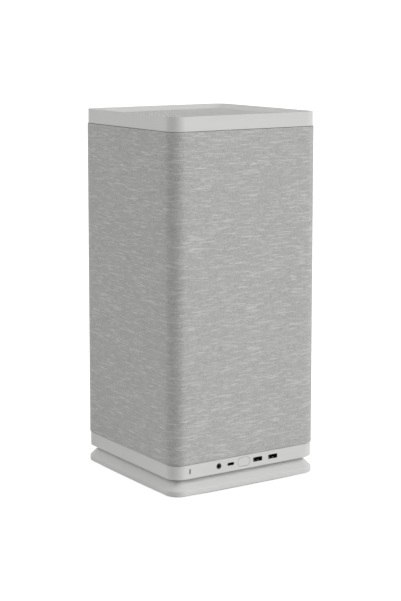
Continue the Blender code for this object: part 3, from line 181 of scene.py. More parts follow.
wiring, given, result = shader_group(
    "surface_grain",
    [("Vector", VECTOR, None), ("Grain size", NUMBER, 0.0003), ("Patch size", NUMBER, 0.06)],
    [("Height", NUMBER), ("Patches", NUMBER), ("Specks", NUMBER)])
fine_scale = wiring.math("DIVIDE", 1.0, given["Grain size"])
fine = wiring.add("ShaderNodeTexNoise", {"Vector": given["Vector"], "Scale": fine_scale, "Detail": 2.0})
pits = wiring.add("ShaderNodeTexVoronoi", {"Vector": given["Vector"], "Scale": fine_scale},
                  feature="SMOOTH_F1")
wiring.feed(result["Height"], wiring.math("MULTIPLY_ADD", pits.outputs["Distance"], 0.6, fine.outputs["Fac"]))
patch_scale = wiring.math("DIVIDE", 1.0, given["Patch size"])
patch = wiring.add("ShaderNodeTexNoise", {"Vector": given["Vector"], "Scale": patch_scale, "Detail": 4.0})
wiring.feed(result["Patches"], patch.outputs["Fac"])
speck_scale = wiring.math("DIVIDE", 0.4, given["Grain size"])
speck = wiring.add("ShaderNodeTexNoise", {"Vector": given["Vector"], "Scale": speck_scale, "Detail": 1.0})
wiring.feed(result["Specks"], speck.outputs["Fac"])
surface_grain = wiring.tree
print("group made:", surface_grain.name)

# %% [markdown]
# ## Materials from the grain
# Each finish is a material of its own, with the grain group feeding its colour, gloss and bump. What
# stays the same all over a surface, such as sheen or the reflection level, is set on the shader itself.
# One function makes them all, because they differ only in their values.

# %% Grained materials
def grained(name, colour, roughness, grain=0.0003, relief=0.00002, patch=0.06, drift=0.03, metal=0.0,
            stretch=(1.0, 1.0, 1.0), **constants):
    """A surface with grain: drift is how far its colour wanders, stretch draws the grain out."""
    made = bpy.data.materials.new(name)
    made.use_nodes = True
    wiring = Wiring(made.node_tree)
    shader = made.node_tree.nodes["Principled BSDF"]
    place = wiring.add("ShaderNodeTexCoord").outputs["Object"]
    place = wiring.add("ShaderNodeMapping", {"Vector": place, "Scale": stretch}).outputs[0]
    skin = wiring.group(surface_grain, {"Vector": place, "Grain size": grain, "Patch size": patch})
    wander = wiring.math("ADD", wiring.math("MULTIPLY", skin.outputs["Patches"], 0.7),
                         wiring.math("MULTIPLY", skin.outputs["Specks"], 0.3))
    dark = tuple(v * (1.0 - drift) for v in colour) + (1.0,)
    light = tuple(min(1.0, v * (1.0 + drift)) for v in colour) + (1.0,)
    wiring.feed(shader.inputs["Base Color"], wiring.mix(wiring.remap(wander, 0.3, 0.7), dark, light))
    wiring.feed(shader.inputs["Roughness"],
                wiring.remap(skin.outputs["Patches"], 0.3, 0.7, roughness + 0.05, roughness - 0.05))
    shader.inputs["Metallic"].default_value = metal
    bump = wiring.add("ShaderNodeBump",
                      {"Height": skin.outputs["Height"], "Distance": relief, "Strength": 1.0})
    wiring.feed(shader.inputs["Normal"], bump.outputs["Normal"])
    for socket, value in constants.items():
        shader.inputs[socket.replace("_", " ")].default_value = value
    return made


finishes = {
    "light_plastic": grained("moulded_light_plastic", (0.640, 0.640, 0.628), 0.50, 0.00028, 0.000012,
                             drift=0.012, Specular_IOR_Level=0.08),
    "rubber": grained("rubber_pad", (0.028, 0.028, 0.029), 0.80, 0.0004, 0.00003, drift=0.10),
    "dark_steel": grained("powder_coat", (0.045, 0.046, 0.050), 0.48, 0.0007, 0.00004, drift=0.08),
    "bright_steel": grained("plated_steel", (0.56, 0.56, 0.57), 0.30, 0.0005, 0.000006, drift=0.06, metal=1.0,
                            stretch=(0.08, 1.0, 1.0)),
    # Socket shells: a near-black metal colour, painted shade for shells set deep in their openings.
    "socket_shell": grained("shell_painted_shade_metal", (0.05, 0.05, 0.052), 0.42, 0.0005, 0.000006, drift=0.08,
                            metal=0.8),
    "black_plastic": grained("satin_black_plastic", (0.018, 0.018, 0.019), 0.42, 0.0004, 0.00002, drift=0.12),
    "lens": grained("smoky_lens", (0.20, 0.20, 0.20), 0.22, 0.0010, 0.000002, drift=0.03, Coat_Weight=0.4),
    "memory_cover": grained("anodised_cover", (0.050, 0.051, 0.056), 0.38, 0.0003, 0.00001, drift=0.08,
                            metal=0.7),
    "copper": grained("bare_copper", (0.76, 0.36, 0.22), 0.28, 0.0006, 0.000006, drift=0.10, metal=1.0),
    "aluminium": grained("mill_aluminium", (0.62, 0.63, 0.64), 0.34, 0.0006, 0.000006, drift=0.05, metal=1.0,
                         stretch=(1.0, 1.0, 0.06)),
    "cable": grained("cable_jacket", (0.014, 0.014, 0.015), 0.50, 0.0008, 0.00004, drift=0.10),
    "grille_paint": grained("painted_grille", (0.610, 0.610, 0.600), 0.55, 0.0004, 0.000006, drift=0.02,
                            Specular_IOR_Level=0.08),
    "graphite": grained("pressed_ferrite", (0.060, 0.060, 0.062), 0.60, 0.0003, 0.00002, patch=0.01,
                        drift=0.12),
    "chip": grained("moulded_epoxy", (0.022, 0.022, 0.024), 0.50, 0.0002, 0.00001, patch=0.01, drift=0.15),
    "solder": grained("tinned_part", (0.38, 0.33, 0.24), 0.40, 0.0003, 0.00001, patch=0.004, drift=0.30,
                      metal=0.3),
    "thread": grained("sewing_thread", (0.40, 0.40, 0.39), 0.85, 0.0002, 0.00003, patch=0.004, drift=0.12),
    "gilt": grained("gilded_contact", (0.80, 0.58, 0.26), 0.30, 0.0003, 0.000002, patch=0.004, metal=1.0),
    # Near-black for the collars in the socket openings: painted shade.
    "deep_black": grained("socket_lining", (0.008, 0.008, 0.008), 0.60, 0.0003, 0.000006, drift=0.10),
}
print("finishes made:", len(finishes))

# %% [markdown]
# ## Circuit boards
# A board is glass cloth under coloured lacquer, with copper tracks that show through as paler lines, and
# plated holes between them. The tracks run straight for a while and then change direction, so the board is
# divided into patches by a Voronoi pattern, and each patch has its lines along or across. Two boards and
# the riser use the pattern, so it is a group.

# %% Shared group: board tracks
wiring, given, result = shader_group(
    "board_tracks", [("Vector", VECTOR, None), ("Pitch", NUMBER, 0.0012), ("Patch", NUMBER, 0.014)],
    [("Track", NUMBER), ("Plated hole", NUMBER)])
patch_scale = wiring.math("DIVIDE", 1.0, given["Patch"])
patches = wiring.add("ShaderNodeTexVoronoi", {"Vector": given["Vector"], "Scale": patch_scale},
                     distance="MANHATTAN")
choice = wiring.add("ShaderNodeSeparateXYZ", {0: patches.outputs["Color"]}).outputs
spot = wiring.add("ShaderNodeSeparateXYZ", {0: given["Vector"]}).outputs
along = wiring.math("MULTIPLY", spot[1], wiring.math("GREATER_THAN", choice[0], 0.5))
line = wiring.math("MULTIPLY_ADD", spot[2], wiring.math("LESS_THAN", choice[0], 0.5), along)
wave = wiring.math("SINE", wiring.math("DIVIDE", wiring.math("MULTIPLY", line, math.tau), given["Pitch"]))
routed = wiring.math("GREATER_THAN", choice[1], 0.35)
wiring.feed(result["Track"], wiring.math("MULTIPLY", wiring.remap(wave, 0.35, 0.55), routed))
holes = wiring.add("ShaderNodeTexVoronoi", {"Vector": given["Vector"], "Scale":
                                            wiring.math("DIVIDE", 0.25, given["Pitch"])})
wiring.feed(result["Plated hole"], wiring.remap(holes.outputs["Distance"], 0.11, 0.08))
board_tracks = wiring.tree

# %% Board lacquer
lacquer = bpy.data.materials.new("board_lacquer")
lacquer.use_nodes = True
wiring = Wiring(lacquer.node_tree)
shader = lacquer.node_tree.nodes["Principled BSDF"]
spot = wiring.add("ShaderNodeTexCoord").outputs["Object"]
tracks = wiring.group(board_tracks, {"Vector": spot})
skin = wiring.group(surface_grain, {"Vector": spot, "Grain size": 0.0012, "Patch size": 0.02})
colour = wiring.mix(skin.outputs["Patches"], (0.010, 0.027, 0.020, 1.0), (0.016, 0.040, 0.030, 1.0))
colour = wiring.mix(tracks.outputs["Track"], colour, (0.030, 0.078, 0.056, 1.0))
colour = wiring.mix(tracks.outputs["Plated hole"], colour, (0.60, 0.46, 0.22, 1.0))
wiring.feed(shader.inputs["Base Color"], colour)
wiring.feed(shader.inputs["Metallic"], tracks.outputs["Plated hole"])
wiring.feed(shader.inputs["Roughness"], wiring.remap(skin.outputs["Patches"], 0.3, 0.7, 0.38, 0.30))
shader.inputs["Coat Weight"].default_value = 0.3
bump = wiring.add("ShaderNodeBump", {"Height": tracks.outputs["Track"], "Distance": 0.00004, "Strength": 1.0})
wiring.feed(shader.inputs["Normal"], bump.outputs["Normal"])
finishes["circuit_board"] = lacquer
print("board lacquer ready")

# %% [markdown]
# ## Smoothed copies of CAD pieces
# A CAD piece arrives as loose triangles with knife-sharp edges. Real edges are never sharp: a fine radius
# along them catches a line of light, and that line is what makes a surface look solid. So a piece is
# copied, its corners are merged, its flat areas are cleared of needless lines, and a Bevel rounds what is
# left. The copy then stands for the CAD piece, which keeps its work in the simulation.

# %% Tools for pieces
def show(obj, body, replaced=()):
    """Puts a finished piece on its body and the CAD pieces it stands for."""
    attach(obj, body)
    if replaced:
        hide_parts(*replaced)
    return obj


def as_object(name, mesh, material=None):
    """A mesh as an object in the scene."""
    made = bpy.data.objects.new(name, mesh)
    bpy.context.scene.collection.objects.link(made)
    if material is not None:
        mesh.materials.clear()
        mesh.materials.append(material)
    return made


def settled(obj):
    """Applies an object's modifiers by turning what they make into its plain mesh."""
    bpy.context.view_layer.update()
    depsgraph = bpy.context.evaluated_depsgraph_get()
    mesh = bpy.data.meshes.new_from_object(obj.evaluated_get(depsgraph))
    obj.modifiers.clear()
    obj.data = mesh
    return obj


def smoothed(node, radius=0.0, angle=40, segments=2, flat=1.0, finish=None):
    """A merged, cleaned and bevelled copy of a CAD piece, in the finish of its slot or another one."""
    bm = bmesh.new()
    bm.from_mesh(nodes[node].data)
    bmesh.ops.remove_doubles(bm, verts=bm.verts, dist=0.000004)
    bmesh.ops.dissolve_limit(bm, angle_limit=math.radians(flat), verts=bm.verts, edges=bm.edges)
    mesh = bpy.data.meshes.new(node + "_finished")
    bm.to_mesh(mesh)
    bm.free()
    mesh.shade_smooth()
    mesh.set_sharp_from_angle(angle=math.radians(angle))
    made = as_object(node + "_finished", mesh, finishes[finish or finish_of[node]])
    if radius:
        bevel = made.modifiers.new("edge", "BEVEL")
        bevel.width = radius
        bevel.segments = segments
        bevel.limit_method = "ANGLE"
        bevel.angle_limit = math.radians(angle)
        bevel.miter_outer = "MITER_ARC"
    even = made.modifiers.new("flat faces stay flat", "WEIGHTED_NORMAL")
    even.keep_sharp = True
    settled(made)
    return show(made, home[node], [node])


print("piece tools ready")

# %% [markdown]
# ## Foot, band and cap
# These three shells are moulded in the same light plastic. Their shapes are already right, so smoothed
# copies carry them. The radii are those of a good moulding tool: half a millimetre on outer edges, less
# round the socket openings.

# %% Plastic shells
for node, radius in (("foot_plate", 0.0), ("top_cap", 0.0), ("lower_band", 0.00035),
                     ("power_button", 0.00045)):
    shell = smoothed(node, radius)
    print(shell.name, len(shell.data.polygons), "faces")

# %% [markdown]
# ## Sockets
# The socket shells are given a near-black, dull metal colour: painted shade for shells that sit deep in their
# openings and would look wrong if they shone.

# %% Socket shells
for node in ("usb_a_socket_left", "usb_a_socket_right", "usb_c_socket"):
    smoothed(node, 0.00008, finish="socket_shell")
print("sockets ready")

# %% [markdown]
# ## The cloth sleeve
# The cloth is one strip, wrapped round the sleeve's frame and joined at the middle of the back. It is
# woven from melange yarn: every yarn is spun from light and dark fibres, and thicker stretches, called
# slubs, lie in it as light dashes. A strip that is unrolled flat is easiest to draw on, so the piece
# gets a UV map that runs once round the tower and once up it, and the weave is drawn in that map.

# %% Shared group: melange weave
wiring, given, result = shader_group(
    "melange_weave",
    [("Along", NUMBER, 0.0), ("Up", NUMBER, 0.0), ("Yarn along", NUMBER, 0.0011),
     ("Yarn up", NUMBER, 0.0010)],
    [("Height", NUMBER), ("Slub", NUMBER), ("Dash", NUMBER), ("Fibre", NUMBER)])
waver = wiring.add("ShaderNodeTexNoise", {"W": wiring.math("MULTIPLY", given["Along"], 28.0), "Scale": 1.0,
                                          "Detail": 1.0}, noise_dimensions="1D")
lift = wiring.math("MULTIPLY", wiring.math("SUBTRACT", waver.outputs["Fac"], 0.5), 0.0006)
up = wiring.math("DIVIDE", wiring.math("ADD", given["Up"], lift), given["Yarn up"])
along = wiring.math("DIVIDE", given["Along"], given["Yarn along"])
row = wiring.math("FLOOR", up)
across = wiring.math("ABSOLUTE", wiring.math("SINE", wiring.math("MULTIPLY", up, math.pi)))
beat = wiring.math("SINE", wiring.math("MULTIPLY", wiring.math("ADD", along, row), math.pi))
weft = wiring.math("MULTIPLY", across, wiring.math("MULTIPLY_ADD", beat, 0.32, 0.68))
column = wiring.math("ABSOLUTE", wiring.math("SINE", wiring.math("MULTIPLY", along, math.pi)))
warp = wiring.math("MULTIPLY", column, wiring.math("MULTIPLY_ADD", beat, -0.32, 0.50))
wiring.feed(result["Height"], wiring.math("MAXIMUM", weft, warp))
for label, per_metre, detail, spread in (("Slub", 60.0, 1.0, 3.71), ("Dash", 430.0, 3.0, 5.93)):
    yarn_place = wiring.add("ShaderNodeCombineXYZ", {"X": wiring.math("MULTIPLY", given["Along"], per_metre),
                                                     "Y": wiring.math("MULTIPLY", row, spread), "Z": spread})
    spun = wiring.add("ShaderNodeTexNoise", {"Vector": yarn_place.outputs[0], "Scale": 1.0, "Detail": detail})
    wiring.feed(result[label], spun.outputs["Fac"])
fibre_place = wiring.add("ShaderNodeCombineXYZ", {"X": wiring.math("MULTIPLY", given["Along"], 900.0),
                                                  "Y": wiring.math("MULTIPLY", given["Up"], 2600.0),
                                                  "Z": 1.0})
fibre = wiring.add("ShaderNodeTexNoise", {"Vector": fibre_place.outputs[0], "Scale": 1.0, "Detail": 2.0})
wiring.feed(result["Fibre"], fibre.outputs["Fac"])
melange_weave = wiring.tree
print("group made:", melange_weave.name)

# %% Cloth material
wrap_low, wrap_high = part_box("fabric_wrap")
CORNER = 0.0180
CLOTH_LENGTH = 4 * (wrap_high.x - wrap_low.x - 2 * CORNER) + math.tau * CORNER
CLOTH_HEIGHT = wrap_high.z - wrap_low.z

cloth = bpy.data.materials.new("melange_cloth")
cloth.use_nodes = True
wiring = Wiring(cloth.node_tree)
shader = cloth.node_tree.nodes["Principled BSDF"]
unrolled = wiring.add("ShaderNodeUVMap", uv_map="unrolled").outputs[0]
flat = wiring.add("ShaderNodeSeparateXYZ", {0: unrolled}).outputs
weave = wiring.group(melange_weave, {"Along": wiring.math("MULTIPLY", flat[0], CLOTH_LENGTH),
                                     "Up": wiring.math("MULTIPLY", flat[1], CLOTH_HEIGHT)})
yarn = wiring.mix(wiring.remap(weave.outputs["Dash"], 0.25, 0.75),
                  (0.350, 0.351, 0.345, 1.0), (0.620, 0.620, 0.604, 1.0))
yarn = wiring.mix(wiring.remap(weave.outputs["Fibre"], 0.30, 0.70, 0.0, 0.45), yarn, (0.36, 0.36, 0.354, 1.0))
yarn = wiring.mix(wiring.remap(weave.outputs["Slub"], 0.52, 0.76, 0.0, 0.78), yarn, (0.69, 0.69, 0.674, 1.0))
# Where the weave lies low between the yarns the colour is pulled towards a deep grey: painted shade in the gaps of
# the weave.
yarn = wiring.mix(wiring.remap(weave.outputs["Height"], 0.10, 0.60, 0.45, 0.0), yarn, (0.16, 0.16, 0.16, 1.0))
wiring.feed(shader.inputs["Base Color"], yarn)
wiring.feed(shader.inputs["Roughness"], wiring.remap(weave.outputs["Fibre"], 0.2, 0.8, 0.86, 0.96))
shader.inputs["Sheen Weight"].default_value = 0.15
shader.inputs["Sheen Roughness"].default_value = 0.6
shader.inputs["Specular IOR Level"].default_value = 0.25
threads = wiring.add("ShaderNodeBump",
                     {"Height": weave.outputs["Height"], "Distance": 0.00018, "Strength": 0.8})
fuzz = wiring.add("ShaderNodeBump", {"Height": weave.outputs["Fibre"], "Distance": 0.00005, "Strength": 0.6,
                                     "Normal": threads.outputs["Normal"]})
wiring.feed(shader.inputs["Normal"], fuzz.outputs["Normal"])
finishes["fabric"] = cloth
print("cloth:", round(CLOTH_LENGTH, 4), "by", round(CLOTH_HEIGHT, 4), "m")

# %% [markdown]
# The strip follows a square with rounded corners. Each station round it is a point and the way out from
# it, so one list serves the outer face, the inner face and the turned edges. The cloth rolls over at its
# upper and lower edges and is tucked behind, which leaves the fine dark line between cloth and plastic.

# %% Cloth sleeve
def round_square(half, corner, steps=12, straight=14):
    """Points and outward directions round a square with rounded corners, from the middle of the back."""
    stations = []
    flat_half = half - corner
    for quarter in range(4):
        turn = Matrix.Rotation(math.pi / 2 + quarter * math.pi / 2, 2)
        for i in range(straight if quarter else straight // 2):
            share = i / straight + (0.0 if quarter else 0.5)
            along = -flat_half + 2 * flat_half * share
            stations.append((turn @ Vector((half, along)), turn @ Vector((1, 0))))
        for i in range(steps):
            angle = math.pi / 2 * i / steps
            way = Vector((math.cos(angle), math.sin(angle)))
            stations.append((turn @ (Vector((flat_half, flat_half)) + way * corner), turn @ way))
    turn = Matrix.Rotation(math.pi / 2, 2)
    for i in range(straight // 2):
        share = i / straight
        stations.append((turn @ Vector((half, -flat_half + 2 * flat_half * share)), turn @ Vector((1, 0))))
    return stations


def wrapped(name, half, corner, profile, material, steps=12, straight=14):
    """Carries a closed profile of (inset, height) points round the square, with a UV map in round and up."""
    stations = round_square(half, corner, steps, straight)
    lengths = [0.0]
    closed = stations + stations[:1]
    for (a, _), (b, _) in zip(closed, closed[1:]):
        lengths.append(lengths[-1] + (b - a).length)
    low = min(z for _, z in profile)
    high = max(z for _, z in profile)
    bm = bmesh.new()
    rings = [[bm.verts.new((*(point - way * inset), z)) for inset, z in profile] for point, way in stations]
    unroll = bm.loops.layers.uv.new("unrolled")
    for i in range(len(stations)):
        here, there = rings[i], rings[(i + 1) % len(stations)]
        for k in range(len(profile)):
            n = (k + 1) % len(profile)
            face = bm.faces.new((here[k], there[k], there[n], here[n]))
            face.smooth = True
            spots = ((i, k), (i + 1, k), (i + 1, n), (i, n))
            for loop, (station, level) in zip(face.loops, spots):
                up = (profile[level][1] - low) / (high - low)
                loop[unroll].uv = (lengths[station] / lengths[-1], up)
    bmesh.ops.recalc_face_normals(bm, faces=bm.faces)
    mesh = bpy.data.meshes.new(name)
    bm.to_mesh(mesh)
    bm.free()
    return as_object(name, mesh, material)


hem = 0.00045
levels = np.linspace(wrap_low.z + hem, wrap_high.z - hem, 60)
half_turn = np.linspace(0, math.pi, 7)
turned = [(hem - hem * math.cos(a), wrap_high.z - hem + hem * math.sin(a)) for a in half_turn]
tucked = [(hem + hem * math.cos(a), wrap_low.z + hem - hem * math.sin(a)) for a in half_turn]
profile = [(0.0, float(z)) for z in levels[1:-1]] + turned + tucked
sleeve_cloth = wrapped("sleeve_cloth", wrap_high.x, CORNER, profile, cloth)
show(sleeve_cloth, "sleeve", ["fabric_wrap"])
print(sleeve_cloth.name, len(sleeve_cloth.data.polygons), "faces")

# %% [markdown]
# ## Growing what repeats
# A perforated sheet, a fan's blades and rows of screws all follow a rule. Geometry Nodes hold such a rule
# as a tree with named inputs, so one tree makes a large fan and a small one. Each tree here ends in the same
# way: what it grew is put in its place, its instances become real faces, and it gets its finish. The
# result is then turned into a plain mesh, so that no modifier is left on the piece.

# %% Geometry Nodes helpers
WHOLE, FINISH = "NodeSocketInt", "NodeSocketMaterial"
SHARP_EDGE = math.radians(40)


def growth_tree(name, inputs):
    """A Geometry Nodes tree with these inputs, and with Place, Turn and Finish for the end of it."""
    tree = bpy.data.node_groups.new(name, "GeometryNodeTree")
    for label, kind, value in inputs:
        tree.interface.new_socket(label, in_out="INPUT", socket_type=kind).default_value = value
    for label, kind in (("Place", VECTOR), ("Turn", VECTOR), ("Finish", FINISH)):
        tree.interface.new_socket(label, in_out="INPUT", socket_type=kind)
    tree.interface.new_socket("Geometry", in_out="OUTPUT", socket_type="NodeSocketGeometry")
    wiring = Wiring(tree)
    return wiring, wiring.add("NodeGroupInput").outputs, wiring.add("NodeGroupOutput").inputs


def end_growth(wiring, given, result, geometry):
    """Places what was grown, makes its instances real and gives it its finish."""
    turn = wiring.add("FunctionNodeEulerToRotation", {0: given["Turn"]}).outputs[0]
    placed = wiring.add("GeometryNodeTransform",
                        {"Geometry": geometry, "Translation": given["Place"], "Rotation": turn}).outputs[0]
    real = wiring.add("GeometryNodeRealizeInstances", {"Geometry": placed}).outputs[0]
    dressed = wiring.add("GeometryNodeSetMaterial",
                         {"Geometry": real, "Material": given["Finish"]}).outputs[0]
    wiring.feed(result["Geometry"], dressed)


def grow(name, tree, finish, **values):
    """Runs a tree with its inputs set by their sockets' identifiers, and keeps what it makes as a mesh."""
    made = as_object(name, bpy.data.meshes.new(name))
    modifier = made.modifiers.new("growth", "NODES")
    modifier.node_group = tree
    modifier_values = {key.replace("_", " "): value for key, value in values.items()}
    modifier_values["Finish"] = finishes[finish]
    for item in tree.interface.items_tree:
        if item.in_out == "INPUT" and item.name in modifier_values:
            modifier[item.identifier] = modifier_values[item.name]
    settled(made)
    made.data.shade_smooth()
    made.data.set_sharp_from_angle(angle=SHARP_EDGE)
    print(name, len(made.data.polygons), "faces")
    return made


def thickened(wiring, sheet, thickness):
    """Pushes a sheet's faces out by the thickness, and closes the back with the sheet turned over."""
    raised = wiring.add("GeometryNodeExtrudeMesh",
                        {"Mesh": sheet, "Offset Scale": thickness, "Individual": False}, mode="FACES")
    back = wiring.add("GeometryNodeFlipFaces", {"Mesh": sheet})
    both = wiring.join(raised.outputs["Mesh"], back.outputs[0])
    return wiring.add("GeometryNodeMergeByDistance", {"Geometry": both, "Distance": 0.000002}).outputs[0]


print("growth helpers ready")

# %% [markdown]
# ## The perforated grille
# The warm air leaves through a thin sheet with staggered round holes, sunk in the cap. It could be a
# sheet with a Boolean cut for each hole, but about two thousand cuts are slow and fragile. Here the
# sheet's outline and all its holes are drawn as curves, and one Fill Curve node makes the sheet between
# them, as a laser cutter would.

# %% Tree: perforated sheet
wiring, given, result = growth_tree("perforated_sheet", [
    ("Side", NUMBER, 0.18), ("Corner", NUMBER, 0.004), ("Thickness", NUMBER, 0.0015),
    ("Pitch", NUMBER, 0.0044), ("Hole radius", NUMBER, 0.0016), ("Across", WHOLE, 38), ("Rows", WHOLE, 44)])
ROW_STEP = math.sqrt(3) / 2
outline = wiring.add("GeometryNodeCurvePrimitiveQuadrilateral",
                     {"Width": given["Side"], "Height": given["Side"]}).outputs[0]
outline = wiring.add("GeometryNodeFilletCurve", {"Curve": outline, "Radius": given["Corner"], "Count": 6},
                     mode="POLY").outputs[0]
row_step = wiring.math("MULTIPLY", given["Pitch"], ROW_STEP)
width = wiring.math("MULTIPLY", wiring.math("SUBTRACT", given["Across"], 1.0), given["Pitch"])
height = wiring.math("MULTIPLY", wiring.math("SUBTRACT", given["Rows"], 1.0), row_step)
field = wiring.add("GeometryNodeMeshGrid", {"Size X": width, "Size Y": height, "Vertices X": given["Across"],
                                            "Vertices Y": given["Rows"]}).outputs[0]
spot = wiring.add("ShaderNodeSeparateXYZ", {0: wiring.add("GeometryNodeInputPosition").outputs[0]}).outputs
row = wiring.math("ROUND", wiring.math("DIVIDE", wiring.math("MULTIPLY_ADD", height, 0.5, spot[1]), row_step))
odd = wiring.math("SUBTRACT", wiring.math("MODULO", row, 2.0), 0.5)
shift = wiring.add("ShaderNodeCombineXYZ", {"X": wiring.math("MULTIPLY", wiring.math("MULTIPLY", odd, 0.5),
                                                            given["Pitch"])}).outputs[0]
field = wiring.add("GeometryNodeSetPosition", {"Geometry": field, "Offset": shift}).outputs[0]
hole = wiring.add("GeometryNodeCurvePrimitiveCircle",
                  {"Resolution": 10, "Radius": given["Hole radius"]}).outputs[0]
holes = wiring.add("GeometryNodeInstanceOnPoints", {"Points": field, "Instance": hole}).outputs[0]
holes = wiring.add("GeometryNodeRealizeInstances", {"Geometry": holes}).outputs[0]
sheet = wiring.add("GeometryNodeFillCurve", {"Curve": wiring.join(outline, holes)},
                   mode="TRIANGLES").outputs[0]
end_growth(wiring, given, result, thickened(wiring, sheet, given["Thickness"]))
perforated_sheet = wiring.tree

# %% Top grille
grille_low, grille_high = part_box("top_grille")
GRILLE_PITCH = 0.0040
GRILLE_MARGIN = 0.007
grille_side = grille_high.x - grille_low.x
pierced = grille_side - 2 * GRILLE_MARGIN
across = int(pierced / GRILLE_PITCH)
rows = int(pierced / (GRILLE_PITCH * ROW_STEP))
grille = grow("top_grille_perforated", perforated_sheet, "grille_paint", Side=grille_side, Corner=0.0042,
              Thickness=grille_high.z - grille_low.z, Pitch=GRILLE_PITCH, Hole_radius=0.00115, Across=across,
              Rows=rows, Place=(0.0, 0.0, grille_low.z))
show(grille, "cap", ["top_grille"])

# %% [markdown]
# ## Fan wheels
# A fan wheel is a hub with blades that sweep back and flatten towards the tip. One blade starts as a flat
# grid: its first direction becomes the way out from the axis and its second the way round. A formula
# bends it, the sheet is given its thickness, and copies are turned round the hub. The five wheels differ
# only in their inputs.

# %% Tree: fan wheel
wiring, given, result = growth_tree("fan_wheel", [
    ("Hub radius", NUMBER, 0.02), ("Tip radius", NUMBER, 0.06), ("Depth", NUMBER, 0.02), ("Blades", WHOLE, 9),
    ("Sweep", NUMBER, 0.5), ("Fullness", NUMBER, 0.85), ("Thickness", NUMBER, 0.001)])
blade = wiring.add("GeometryNodeMeshGrid", {"Size X": 1.0, "Size Y": 1.0, "Vertices X": 13,
                                            "Vertices Y": 7}).outputs[0]
spot = wiring.add("ShaderNodeSeparateXYZ", {0: wiring.add("GeometryNodeInputPosition").outputs[0]}).outputs
out = wiring.math("ADD", spot[0], 0.5)
root = wiring.math("MULTIPLY", given["Hub radius"], 0.96)
radius = wiring.math("MULTIPLY_ADD", out, wiring.math("SUBTRACT", given["Tip radius"], root), root)
step = wiring.math("DIVIDE", math.tau, given["Blades"])
spread = wiring.math("MULTIPLY", wiring.math("MULTIPLY", step, given["Fullness"]), spot[1])
angle = wiring.math("MULTIPLY_ADD", wiring.math("POWER", out, 1.6), given["Sweep"], spread)
flatten = wiring.math("MULTIPLY_ADD", out, -0.30, 0.92)
camber = wiring.math("MULTIPLY", wiring.math("SUBTRACT", 0.25, wiring.math("POWER", spot[1], 2.0)), 0.35)
rise = wiring.math("MULTIPLY", wiring.math("ADD", spot[1], camber), flatten)
rise = wiring.math("MULTIPLY", rise, given["Depth"])
bent = wiring.add("ShaderNodeCombineXYZ", {"X": wiring.math("MULTIPLY", radius, wiring.math("COSINE", angle)),
                                           "Y": wiring.math("MULTIPLY", radius, wiring.math("SINE", angle)),
                                           "Z": rise}).outputs[0]
blade = wiring.add("GeometryNodeSetPosition", {"Geometry": blade, "Position": bent}).outputs[0]
blade = thickened(wiring, blade, given["Thickness"])
places = wiring.add("GeometryNodePoints", {"Count": given["Blades"]}).outputs[0]
number = wiring.add("GeometryNodeInputIndex").outputs[0]
round_turn = wiring.add("ShaderNodeCombineXYZ", {"Z": wiring.math("MULTIPLY", number, step)}).outputs[0]
round_turn = wiring.add("FunctionNodeEulerToRotation", {0: round_turn}).outputs[0]
blades = wiring.add("GeometryNodeInstanceOnPoints", {"Points": places, "Instance": blade,
                                                     "Rotation": round_turn}).outputs[0]
drum = wiring.add("GeometryNodeMeshCylinder", {"Vertices": 48, "Radius": given["Hub radius"],
                                               "Depth": wiring.math("MULTIPLY", given["Depth"], 0.88)})
hub, face = drum.outputs["Mesh"], drum.outputs["Top"]
for lift_share, width_share in ((0.06, 0.94), (0.0, 0.80), (-0.03, 0.98)):
    pushed = wiring.add("GeometryNodeExtrudeMesh", {"Mesh": hub, "Selection": face, "Offset Scale":
                                                    wiring.math("MULTIPLY", given["Depth"], lift_share)})
    face = pushed.outputs["Top"]
    hub = wiring.add("GeometryNodeScaleElements", {"Geometry": pushed.outputs["Mesh"], "Selection": face,
                                                   "Scale": width_share}).outputs[0]
end_growth(wiring, given, result, wiring.join(blades, hub))
fan_wheel = wiring.tree

# %% Five fan wheels
ALONG_X = (0.0, math.pi / 2, 0.0)
TIP_SHARE = 0.985
DEPTH_SHARE = 0.92
THICKNESS_SHARE = 0.022
for node, turn, blade_count, hub_share in (
        ("top_fan_rotor", (0.0, 0.0, 0.0), 9, 0.27), ("cpu_fan_rotor", ALONG_X, 9, 0.34),
        ("power_supply_fan", ALONG_X, 7, 0.34), ("graphics_fan_lower", (0.0, -math.pi / 2, 0.0), 11, 0.30),
        ("graphics_fan_upper", (0.0, -math.pi / 2, 0.0), 11, 0.30)):
    hinge = next(joint for joint in frame["joints"] if joint["child"] == home[node])
    low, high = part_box(node)
    axis = 2 if turn[1] == 0.0 else 0
    depth = high[axis] - low[axis]
    tip = min((high - low)[k] for k in range(3) if k != axis) / 2
    place = Vector(hinge["pos_m"])
    place[axis] = (low[axis] + high[axis]) / 2
    wheel = grow(node + "_blades", fan_wheel, "black_plastic", Hub_radius=tip * hub_share,
                 Tip_radius=tip * TIP_SHARE, Depth=depth * DEPTH_SHARE, Blades=blade_count, Sweep=0.45,
                 Fullness=0.80, Thickness=tip * THICKNESS_SHARE, Place=tuple(place), Turn=turn)
    show(wheel, home[node], [node])

# %% [markdown]
# ## Rows of small parts
# Screws, chokes, capacitors and chips are all short prisms with a chamfered top, and some have a hollow in
# it: a screw has twelve sides and a deep hollow, a chip has four sides and none. So one tree makes
# them all, on a grid of points, with a fixed seed where their sizes and places vary.

